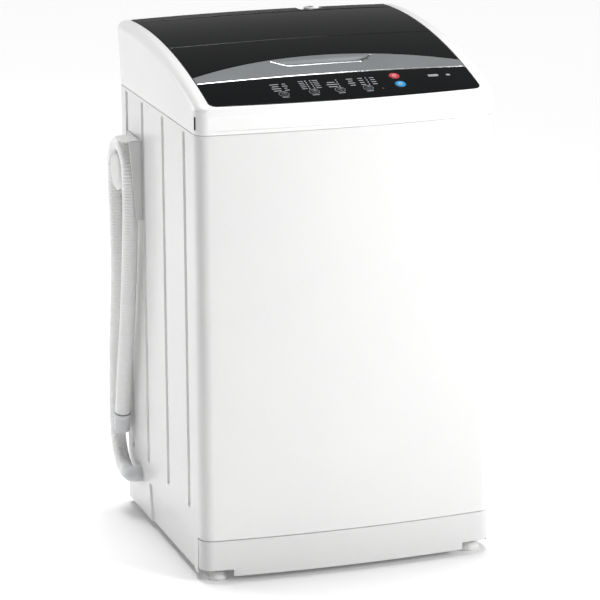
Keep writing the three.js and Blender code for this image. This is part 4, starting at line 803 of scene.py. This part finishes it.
marks = []
for x, widths in ((-108, (13, 16, 11, 15)), (-92, (8, 5, 9, 6)), (-14, (15, 18, 13)), (20, (9, 12, 8, 11))):
    marks += [mark(x, 33 + i * 7, wide, 2.2) for i, wide in enumerate(widths)]
for x in (-62, -38):
    marks += [mark(x, 33 + i * 6.2, 9, 1.8) for i in range(5)]
for x in (38, 58):
    marks += [mark(x, 33 + i * 7, 8, 2) for i in range(4)]
marks += [hoop_mark(x, back, radius + 2.6, 0.6) for _, x, back, radius in KEYS[2:]]
marks += [mark(x, back - 10.5, 12, 1.4) for _, x, back, _ in KEYS[2:]]
marks += [mark(162, 50, 22, 7, 2.5), mark(190, 50, 7, 6, 2.5)]
made("panel_printing", joined(*marks), print_ink, "cabinet", "grey_plastic")

# Lamp lenses are clear polycarbonate over small diodes, so they look like pale beads.
lamp_lens = finish("polycarbonate_lamp_lens", "a9afb3", "bcc2c6", 5, 0.8, 0.003, (0.12, 0.2), IOR=1.58)
bead = rounded([(0.1, -0.5), (1.3, -0.5), (1.3, 0.4), (0.1, 0.4)], 0.4, 3)
lamps = []
for x in (-54, -46):
    lamps += [moved(lathe(bead, 20), matrix=on_deck(x, 33 + i * 6.2)) for i in range(5)]
for x in (-3, 48):
    lamps += [moved(lathe(bead, 20), matrix=on_deck(x, 33 + i * 7)) for i in range(4)]
made("panel_lamps", joined(*lamps), lamp_lens, "cabinet", "grey_plastic")
red_lens = finish("red_lamp_lens", "a8433a", "b95046", 4, 0.7, 0.003, (0.15, 0.22), IOR=1.58)
made("power_lamp", moved(lathe(bead, 20), matrix=on_deck(66, 17)), red_lens, "cabinet", "red_key")

# The keys are ABS too, dished for a fingertip and polished at the rim.
red_abs = finish("red_abs_key", "b8343f", "c8404a", 8, 0.9, 0.004, (0.24, 0.34), IOR=1.53)
blue_abs = finish("blue_abs_key", "1c86bd", "2793ca", 8, 0.9, 0.004, (0.24, 0.34), IOR=1.53)
dark_abs = finish("dark_grey_abs_key", "26282b", "303236", 8, 0.9, 0.004, (0.3, 0.42), IOR=1.53)
white_ink = finish("white_printing_ink", "dcdedf", "eceded", 5, 0.5, 0.003, (0.45, 0.55), IOR=1.5)
for name, x, back, radius in KEYS:
    look = {"power_key": red_abs, "start_key": blue_abs}.get(name, dark_abs)
    slot = {"power_key": "red_key", "start_key": "blue_key"}.get(name, "dark_key")
    profile = [(0.1, -5.4), (radius + 2, -5.4), (radius + 2, -3.8), (radius, -3.8), (radius, 0.5),
               (radius - 0.8, 1.3), (radius - 1.6, 1.2), (radius * 0.4, 0.75), (0.1, 0.7)]
    button = moved(lathe(rounded(profile, 0.35, 3), 56), matrix=on_deck(x, back))
    made(name.replace("_key", "_button"), button, look, name, slot, name)
for name, x, back, radius in KEYS[:2]:
    circle = lathe([(2.6, 0.5), (3.3, 0.5), (3.3, 0.95), (2.6, 0.95)], 32)
    stroke = block(-0.35, 0.35, 1.2, 3.8, 0.5, 0.98, 0.05, 0.2)
    icon = moved(joined(circle, stroke), matrix=on_deck(x, back))
    made(name.replace("_key", "_icon"), icon, white_ink, name, "white_plastic")
# Glass epoxy board under green solder resist.
board_green = finish("solder_resist_green", "17512d", "20653a", 7, 1.2, 0.01, (0.3, 0.5), IOR=1.55)
dress(board_green, "control_board")


# ---- Folding lid ----
# The lid is two gloss black panels on a fold, with rails and knuckles moulded underneath. Across its
# front lies a silver strip, arched behind and hollowed for the fingers, with a bright edge in front.
strip_side, strip_middle = 24.0, 74.0
scoop_front, scoop_rear = LID_FRONT_Y + 38, LID_FRONT_Y + 60
scoop_half = (62.0, 86.0)
scoop_deep = 9.0


def strip_edge(x):
    return LID_FRONT_Y + strip_side + (strip_middle - strip_side) * (1 - (x / LID_HALF) ** 2)


def scooped(x, y, slope=2.2):
    """Depth of the finger scoop: steep at its front, wider and gentler at its rear."""
    share = (y - scoop_front) / (scoop_rear - scoop_front)
    half = scoop_half[0] + (scoop_half[1] - scoop_half[0]) * min(1.3, max(-0.2, share))
    side = smooth((half - abs(x)) / 3.5 + 0.5)
    into = smooth((y - scoop_front) / slope + 0.5)
    return scoop_deep * side * into * smooth((scoop_rear + 1 - y) / 5 + 0.5)


scoop_fine = [0, 15, 30, 45] + spread(52, 96, 22) + spread(104, LID_HALF - 9, 12)[:-1]
scoop_columns = [-x for x in reversed(scoop_fine)] + scoop_fine[1:]
scoop_rows = [scoop_front + s for s in (-3, -2.2, -1.5, -1, -0.5, 0, 0.5, 1, 1.5, 2.2, 3, 6)]
scoop_rows += [scoop_rear + s for s in (-8, -5, -3.5, -2.5, -1.5, -0.5, 0.5, 1.5, 2.5, 3.5, 4.5)]


def strip_rows(x):
    reach = strip_edge(x) - LID_FRONT_Y
    share = spread(0.5, 0.96, len(scoop_rows) - 1)
    held = [min(y, LID_FRONT_Y + reach * part) for y, part in zip(scoop_rows, share)]
    start = LID_FRONT_Y + 2.6
    return spread(start, held[0], 6)[:-1] + held


def strip_panel():
    sections = []
    edges = [LID_HALF - s for s, _ in reversed(edge_steps)]
    for x in [-x for x in reversed(edges)] + scoop_columns + edges:
        start, stop = LID_FRONT_Y, strip_edge(x)
        near = [(0, 2.2), (0.3, 1.2), (0.8, 0.5), (1.5, 0.12), (2.2, 0)]
        ys = [start + n for n, _ in near] + strip_rows(x) + [stop - n for n in (0.5, 0.3, 0.15, 0)]
        beside = fall(LID_HALF - abs(x))
        upper, lower = [], []
        for i, y in enumerate(ys):
            front = near[i][1] if i < len(near) else 0
            rear = {0: 0.6, 1: 0.3, 2: 0.1}.get(len(ys) - 1 - i, 0)
            top = deck_z(x, y) - scooped(x, y)
            upper.append((x, y, top - max(front, rear, beside)))
            lower.append((x, y, top - PANEL_SKIN + 0.4))
        sections.append(upper + lower[::-1])
    return grid(sections, loop=True, capped=True)


lid_columns = [x for x in scoop_columns if abs(x) < LID_HALF - 10]


def lid_front_panel():
    sections = []
    for x in ends_in(LID_HALF, lid_columns):
        start, edge, stop = LID_FRONT_Y, strip_edge(x), FOLD_Y - 0.4
        reach = edge - start
        ys = [start, start + RAIL - 0.6, start + RAIL + 0.6]
        share = spread(0.42, 0.97, len(scoop_rows) - 1)
        ys += [min(y, start + reach * part) for y, part in zip(scoop_rows, share)]
        ys += [edge + 0.05, edge + 0.4, edge + 1] + spread(edge + 6, stop - 10, 8)
        ys += [stop - n for n in (RAIL + 0.6, RAIL - 0.6, 1.1, 0.75, 0.4, 0.12, 0)]
        ys = sorted(ys)
        beside = LID_HALF - abs(x)
        upper, lower = [], []
        for y in ys:
            over = deck_z(x, y)
            sunk = y < edge + 0.1
            down = PANEL_SKIN + 0.3 + scooped(x, y, 3) if sunk else 0.35 * smooth((edge + 1 - y) / 0.9)
            lip = 0 if sunk else max(fall(stop - y), fall(beside))
            upper.append((x, y, over - down - lip))
            railed = min(y - start, stop - y, beside) < RAIL
            skin = 5.8 if sunk else PANEL_SKIN
            lower.append((x, y, over - max(SEAT_DROP if railed else skin, down + 1.2 if sunk else 0)))
        sections.append(upper + lower[::-1])
    return grid(sections, loop=True, capped=True)


fold_z, hinge_z = deck_z(0, FOLD_Y) - 19.5, deck_z(0, HINGE_Y) - 9
facing_side = Matrix.Rotation(math.pi / 2, 4, "Y")


def knuckles(towards, inward):
    """A pair of hinge knuckles with rounded arms, under the fold."""
    lugs = []
    for across in (-1, 1):
        x0 = across * (LID_HALF - 24 - inward)
        a, b = sorted((x0, x0 - across * 6))
        top = deck_z(x0, FOLD_Y) - SEAT_DROP + 2
        far, near = FOLD_Y + towards * 9, FOLD_Y + towards
        lugs.append(block(a, b, min(far, near), max(far, near), fold_z - 4, top, 0.6, 1.2))
        lugs.append(block(a, b, min(far, FOLD_Y), max(far, FOLD_Y), fold_z - 4, fold_z + 3, 0.6, 1.2))
        barrel = rounded([(2.2, a), (4, a), (4, b), (2.2, b)], 0.4, 2)
        lugs.append(moved(lathe(barrel, 32), 0, FOLD_Y, fold_z, facing_side))
    return lugs


made("lid_front_panel", joined(lid_front_panel(), *knuckles(-1, 0)), gloss_black, "lid_front", "black_gloss",
     "lid_front", smooth_to=30)
# Silver paint over ABS: fine metal flake that reads as satin, darker than chrome.
silver_paint = finish("silver_metallic_paint", "85888a", "8f9294", 60, 0.8, 0.004, (0.34, 0.42),
                      Metallic=0.35, Coat_Weight=0.25, Coat_Roughness=0.15)
made("lid_strip", strip_panel(), silver_paint, "lid_front", "silver_trim", "handle_strip", smooth_to=36)

# Bright chrome plating on the strip's front edge and round the scoop's lip.
bright_chrome = finish("bright_chrome_plate", "e4e6e7", "f0f1f1", 30, 1.2, 0.001, (0.08, 0.14), Metallic=0.9)


def beading(points, radius, sides=10):
    """A thin round beading that follows points on the top surface."""
    rows = []
    for i, point in enumerate(points):
        before, after = Vector(points[max(0, i - 1)]), Vector(points[min(len(points) - 1, i + 1)])
        along = (after - before).normalized()
        out = along.cross(Vector((0, 0, 1))).normalized()
        up = out.cross(along)
        rows.append([tuple(Vector(point) + out * radius * math.cos(t) + up * radius * math.sin(t))
                     for t in (2 * math.pi * k / sides for k in range(sides))])
    return grid(rows, loop=True, capped=True)


bead_y = LID_FRONT_Y + 1.5
front_bead = [(x, bead_y, deck_z(x, bead_y) - 0.9) for x in spread(-LID_HALF + 1, LID_HALF - 1, 40)]
scoop_near, scoop_far = scoop_half
lip_line = rounded([(-scoop_far + 3, scoop_rear - 4), (-scoop_near - 1, scoop_front),
                    (scoop_near + 1, scoop_front), (scoop_far - 3, scoop_rear - 4)], 3, 4, closed=False)
lip_line = [(-scoop_far - 1, scoop_rear + 1)] + lip_line + [(scoop_far + 1, scoop_rear + 1)]
lip_bead = [(x, y, deck_z(x, y) - 0.35) for x, y in lip_line]
made("strip_chrome_edge", joined(beading(front_bead, 1.45), beading(lip_bead, 0.75)), bright_chrome,
     "lid_front", "silver_trim")


def lid_rear_panel():
    sections = []
    for x in ends_in(LID_HALF, spread(-LID_HALF + 14, LID_HALF - 14, 40)):
        start, stop = FOLD_Y + 0.4, HINGE_Y
        nose = deck_z(x, HINGE_Y) - hinge_z
        beside = LID_HALF - abs(x)
        ys = [start + n for n in edge_lines()] + spread(start + 14, stop - 16, 14)
        ys += [stop - 13, stop - 8, stop - 3]
        upper = [(x, y, deck_z(x, y) - max(fall(y - start), fall(beside))) for y in ys]
        for t in spread(0, math.pi / 2, 9):
            r = nose - fall(beside)
            upper.append((x, HINGE_Y + r * math.sin(t), hinge_z + r * math.cos(t)))
        railed = beside < RAIL
        lower = []
        for y in ys:
            thick = SEAT_DROP if railed or y - start < RAIL else PANEL_SKIN
            lower.append((x, y, deck_z(x, y) - thick if y < stop - 13.5 else hinge_z - 2))
        sections.append(upper + [(x, HINGE_Y - 1, hinge_z - 2)] + lower[::-1])
    return grid(sections, loop=True, capped=True)


made("lid_rear_panel", joined(lid_rear_panel(), *knuckles(1, 7)), gloss_black, "lid_rear", "black_gloss",
     "lid_rear", smooth_to=30)
dress(stainless, "hinge_pin_left", "hinge_pin_right", "fold_pin_left", "fold_pin_right")

deck_half = HALF_W - RIM_SIDE - 0.6
notch_columns = []
for edge in (notch_x - notch_half, notch_x + notch_half):
    notch_columns += [edge + s for s in (-4.5, -3.5, -2.5, -1.6, -0.9, -0.4, 0, 0.4, 0.9, 1.6, 2.5)]
notch_columns += spread(notch_x - notch_half + 4, notch_x + notch_half - 4, 6)
deck_columns = [x for x in spread(-deck_half + 12, deck_half - 12, 36) if abs(x - notch_x) > notch_half + 5]
deck_columns = sorted(deck_columns + notch_columns)


def deck_front(x):
    return HINGE_Y + deck_z(x, HINGE_Y) - hinge_z + SEAM


def deck_rear(x):
    into = notch_half + 0.4 - abs(x - notch_x)
    return REAR_Y - 0.05 - 25.4 * smooth(into / 1.2)


made("rear_deck_panel", deck_panel(deck_half, deck_columns, deck_front, deck_rear,
     lambda x: spread(deck_front(x) + 5, min(deck_rear(x) - 5, REAR_Y - 5), 4), rail=3, seat=LIP),
     gloss_black, "cabinet", "black_gloss", "rear_deck")


# ---- Drain elbow, hose, cuff and hook ----
# The tub empties through an elbow low on the left side. A corrugated polypropylene hose is pushed into
# it, climbs the side, bends over the hook and hangs down again, with a smooth cuff on its free end.
HOSE_X, HOSE_R = -273.0, 13.5
HOSE_ROUTE = (
    (390, 78), (404, 78), (427, 87), (445, 105), (455.5, 127), (460, 155), (461, 200), (457.5, 250),
    (451, 305), (441, 365), (433, 425), (431, 485), (435, 545), (438, 590), (436, 630), (423.5, 652),
    (402, 663.5), (381, 663.5), (359.5, 652), (347, 630), (344, 590), (346, 545), (353, 485),
    (364, 425), (376, 365), (391, 305), (406, 250), (417, 205), (423, 178))
route = [Vector((HOSE_X, FRONT_Y + back, z)) for back, z in HOSE_ROUTE]


def smooth_route(points, steps):
    """A centripetal Catmull-Rom curve through the points."""
    before = points[0] * 2 - points[1]
    after = points[-1] * 2 - points[-2]
    line = [before] + list(points) + [after]
    curve = []
    for a, b, c, d in zip(line, line[1:], line[2:], line[3:]):
        t1 = (b - a).length ** 0.5
        t2 = t1 + (c - b).length ** 0.5
        t3 = t2 + (d - c).length ** 0.5
        for t in spread(t1, t2, steps)[:-1]:
            ab = a * ((t1 - t) / t1) + b * (t / t1)
            bc = b * ((t2 - t) / (t2 - t1)) + c * ((t - t1) / (t2 - t1))
            cd = c * ((t3 - t) / (t3 - t2)) + d * ((t - t2) / (t3 - t2))
            abc = ab * ((t2 - t) / t2) + bc * (t / t2)
            bcd = bc * ((t3 - t) / (t3 - t1)) + cd * ((t - t1) / (t3 - t1))
            curve.append(abc * ((t2 - t) / (t2 - t1)) + bcd * ((t - t1) / (t2 - t1)))
    return curve + [points[-1]]


def evenly(curve, step):
    """The same line with points one step apart, and how far along it each lies."""
    spaced, gone, walked = [(curve[0], 0.0)], 0.0, 0.0
    for a, b in zip(curve, curve[1:]):
        length = (b - a).length
        while walked + length >= gone + step:
            gone += step
            spaced.append((a.lerp(b, (gone - walked) / length), gone))
        walked += length
    return spaced, walked


def tube(spaced, radius_at, sides=28, side=Vector((1, 0, 0)), bore=None):
    """A round tube about a line. radius_at gives its outside at each distance along the line."""
    rows = []
    for i, (point, gone) in enumerate(spaced):
        ahead = spaced[min(i + 1, len(spaced) - 1)][0] - spaced[max(i - 1, 0)][0]
        ahead.normalize()
        out = (side - ahead * side.dot(ahead)).normalized()
        up = ahead.cross(out)
        rows.append([tuple(point + (out * math.cos(t) + up * math.sin(t)) * radius_at(gone))
                     for t in (2 * math.pi * k / sides for k in range(sides))])
    return grid(rows, loop=True, capped=True)


hose_line, hose_run = evenly(smooth_route(route, 24), 0.9)
rib_pitch, rib_depth, plain_end = 5.4, 0.7, 20.0


def hose_outside(gone):
    ribbed = smooth((min(gone, hose_run - gone) - plain_end) / 5)
    valley = 0.5 + 0.5 * math.cos(2 * math.pi * gone / rib_pitch)
    return HOSE_R - 0.35 - ribbed * rib_depth * valley + 0.3 * ribbed


# Polypropylene blown into rolls: milky and slightly clear, so its ribs are soft and pale.
hose_polypropylene = finish("corrugated_polypropylene", "f1f1f1", "f7f7f6", 40, 1.5, 0.008, (0.3, 0.42),
                            IOR=1.49)
hose = made("ribbed_drain_hose", tube(hose_line, hose_outside), hose_polypropylene, "cabinet", "hose_plastic",
            "drain_hose", smooth_to=60)

elbow_y, elbow_z, elbow_r = 142.0, 78.0, 13.0
bend_r = 9
bend = [Vector((x, elbow_y, elbow_z)) for x in (-HALF_W + 14, -HALF_W - 4, -HALF_W - 9)]
bend += [Vector((HOSE_X + bend_r - bend_r * math.sin(t), elbow_y + bend_r - bend_r * math.cos(t), elbow_z))
         for t in spread(0, math.pi / 2, 10)]
bend += [Vector((HOSE_X, elbow_y + 12, elbow_z)), Vector((HOSE_X, 159.7, elbow_z))]
elbow_line, elbow_run = evenly(bend, 0.8)


def elbow_outside(gone):
    """The elbow's radius, with one fine groove round its mouth."""
    return elbow_r - 0.05 - (0.5 if abs(gone - elbow_run + 9) < 0.9 else 0)


grey_elbow = tube(elbow_line, elbow_outside, 40, Vector((0, 0, 1)))
washer = rounded([(9, -0.1), (16.5, -0.1), (16.5, 1.4), (15, 2.6), (9, 2.6)], 0.5, 2)
facing_left = Matrix.Rotation(-math.pi / 2, 4, "Y")
washer_part = moved(lathe(washer, 48), -HALF_W + 3.4, elbow_y, elbow_z, facing_left)
made("elbow_fitting", joined(grey_elbow, washer_part), grey_polypropylene, "cabinet", "grey_plastic",
     "drain_elbow", smooth_to=50)

along = (route[-1] - route[-2]).normalized()
cuff_turn = along.to_track_quat("Z", "Y").to_matrix().to_4x4()
cuff_profile = [(0.2, 0), (15.5, 0), (15.5, 5), (14.5, 7), (14.5, 34), (11, 34), (11, 3), (0.2, 3)]
cuff_part = lathe(rounded(cuff_profile, 0.7, 3), 56)
start = route[-1] + along * 0.6
cuff = made("hose_end_cuff", moved(cuff_part, start.x, start.y, start.z, cuff_turn),
            grey_polypropylene, "cabinet", "grey_plastic", "hose_cuff")

# The hook is moulded in the base's white polypropylene: a plate against the steel, a saddle under the
# hose's arch, and a roof and a flange that keep the hose in.
arch_y, arch_z, arch_r = FRONT_Y + 391.5, 618.0, 46.5
hook_face, hook_out = -HALF_W - 0.3, HOSE_X - HOSE_R - 1
hook_front, hook_rear = arch_y - (arch_r + HOSE_R + 1) - 3, arch_y + 20
hook_foot, hook_top = arch_z - 75, arch_z + arch_r + HOSE_R + 1
saddle_r = arch_r - HOSE_R - 1
wide = hook_face - hook_out
plate = block(hook_face - 3, hook_face, hook_front, hook_rear, hook_foot, hook_top + 3, 0.8, 1.2)
roof = block(hook_out, hook_face, hook_front, arch_y - 12, hook_top, hook_top + 3, 1.2, 3)
saddle = [(saddle_r - 3, 0), (saddle_r, 0), (saddle_r, wide - 4), (saddle_r - 5, wide - 1), (0.2, wide),
          (0.2, wide - 2.5), (saddle_r - 6, wide - 3.5), (saddle_r - 3, wide - 6)]
saddle_part = moved(lathe(rounded(saddle, 0.9, 2), 72), hook_face, arch_y, arch_z, facing_left)
hook_high = hook_top + 3 - hook_foot
side_wall = [(0, 0), (0, hook_high), (-wide + 10, hook_high), (-12, 0)]
flange_outline = rounded(side_wall, 4, 4)
upright = Matrix.Rotation(math.pi / 2, 4, "X")
flange = moved(moulded(flange_outline, -3, 0, 0.9), hook_face, hook_front, hook_foot, upright)
hook_rib = block(hook_out + 4, hook_face, arch_y - 1.2, arch_y + 1.2,
                 arch_z - saddle_r + 2, arch_z + saddle_r - 2, 0.4, 0.8)
made("hose_hook_moulding", joined(plate, roof, saddle_part, flange, hook_rib), white_polypropylene,
     "cabinet", "white_plastic", "hose_hook")


# ---- Floor, light and camera ----
# White backdrop paper under studio light: a wide soft light overhead, one panel ahead and to the right, and
# one behind and to the left. The room round them is dim, and the gloss lid mirrors it.
stage = bpy.context.scene
stage.view_settings.view_transform = "Standard"
floor_mesh = bpy.data.meshes.new("floor")
reach = 40.0
corners = [(-reach, -reach, 0), (reach, -reach, 0), (reach, reach, 0), (-reach, reach, 0)]
floor_mesh.from_pydata(corners, [], [(0, 1, 2, 3)])
floor = bpy.data.objects.new("floor", floor_mesh)
stage.collection.objects.link(floor)
# Seamless backdrop paper, matt and almost white.
paper = finish("white_backdrop_paper", "f7f7f7", "fafafa", 900, 12, 0.01, (0.85, 0.95),
               Emission_Color=colour("ffffff"), Emission_Strength=0.11)
floor_mesh.materials.append(paper)

room = bpy.data.worlds.new("room")
room.use_nodes = True
room_tree = room.node_tree
room_tree.nodes.clear()
seen = add(room_tree, "ShaderNodeTexCoord")
upwards = add(room_tree, "ShaderNodeSeparateXYZ", {"Vector": seen.outputs["Generated"]})
dusk = add(room_tree, "ShaderNodeMapRange", {
    "Value": upwards.outputs["Z"], "From Min": 0.1, "From Max": 0.75, "To Min": 0.14, "To Max": 0.03})
glow = add(room_tree, "ShaderNodeBackground", {"Color": colour("fdfdfd"), "Strength": dusk.outputs["Result"]})
add(room_tree, "ShaderNodeOutputWorld", {"Surface": glow.outputs["Background"]})
stage.world = room


def aimed(name, lamp, place, aim=(0, 0, 0.45)):
    holder = bpy.data.objects.new(name, lamp)
    holder.location = place
    holder.rotation_euler = (Vector(aim) - Vector(place)).to_track_quat("-Z", "Y").to_euler()
    stage.collection.objects.link(holder)


def soft_panel(name, place, size, watts, spread_angle):
    lamp = bpy.data.lights.new(name, "AREA")
    lamp.shape = "SQUARE"
    lamp.size = size
    lamp.energy = watts
    lamp.spread = math.radians(spread_angle)
    aimed(name, lamp, place, (0, 0, 0.62))


ceiling = bpy.data.lights.new("ceiling", "SUN")
ceiling.energy = 2.75
ceiling.angle = math.radians(34)
aimed("ceiling", ceiling, (0.2, 1.0, 6), (0, 0, 0))
soft_panel("right_panel", (1.8, -2.1, 1.5), 1.2, 11.2, 66)
soft_panel("left_panel", (-2.6, 2.2, 1.3), 1.4, 36, 180)

turn, tilt, roll = math.radians(-18.172), math.radians(15.123), math.radians(-0.3665)
back = Vector((math.sin(turn) * math.cos(tilt), -math.cos(turn) * math.cos(tilt), math.sin(tilt)))
right = (-back).cross(Vector((0, 0, 1))).normalized()
above = right.cross(-back)
level = right * math.cos(roll) + above * math.sin(roll)
upward = above * math.cos(roll) - right * math.sin(roll)
lens = bpy.data.cameras.new("camera")
lens.sensor_width = 36.0
lens.lens = 193.36
lens.clip_end = 100.0
camera = bpy.data.objects.new("camera", lens)
place = back * 5.5929 + level * -0.0102 + upward * 0.3884 + Vector((0, 0, 0.003))
camera.matrix_world = Matrix((level, upward, back)).transposed().to_4x4()
camera.location = place
stage.collection.objects.link(camera)
stage.camera = camera
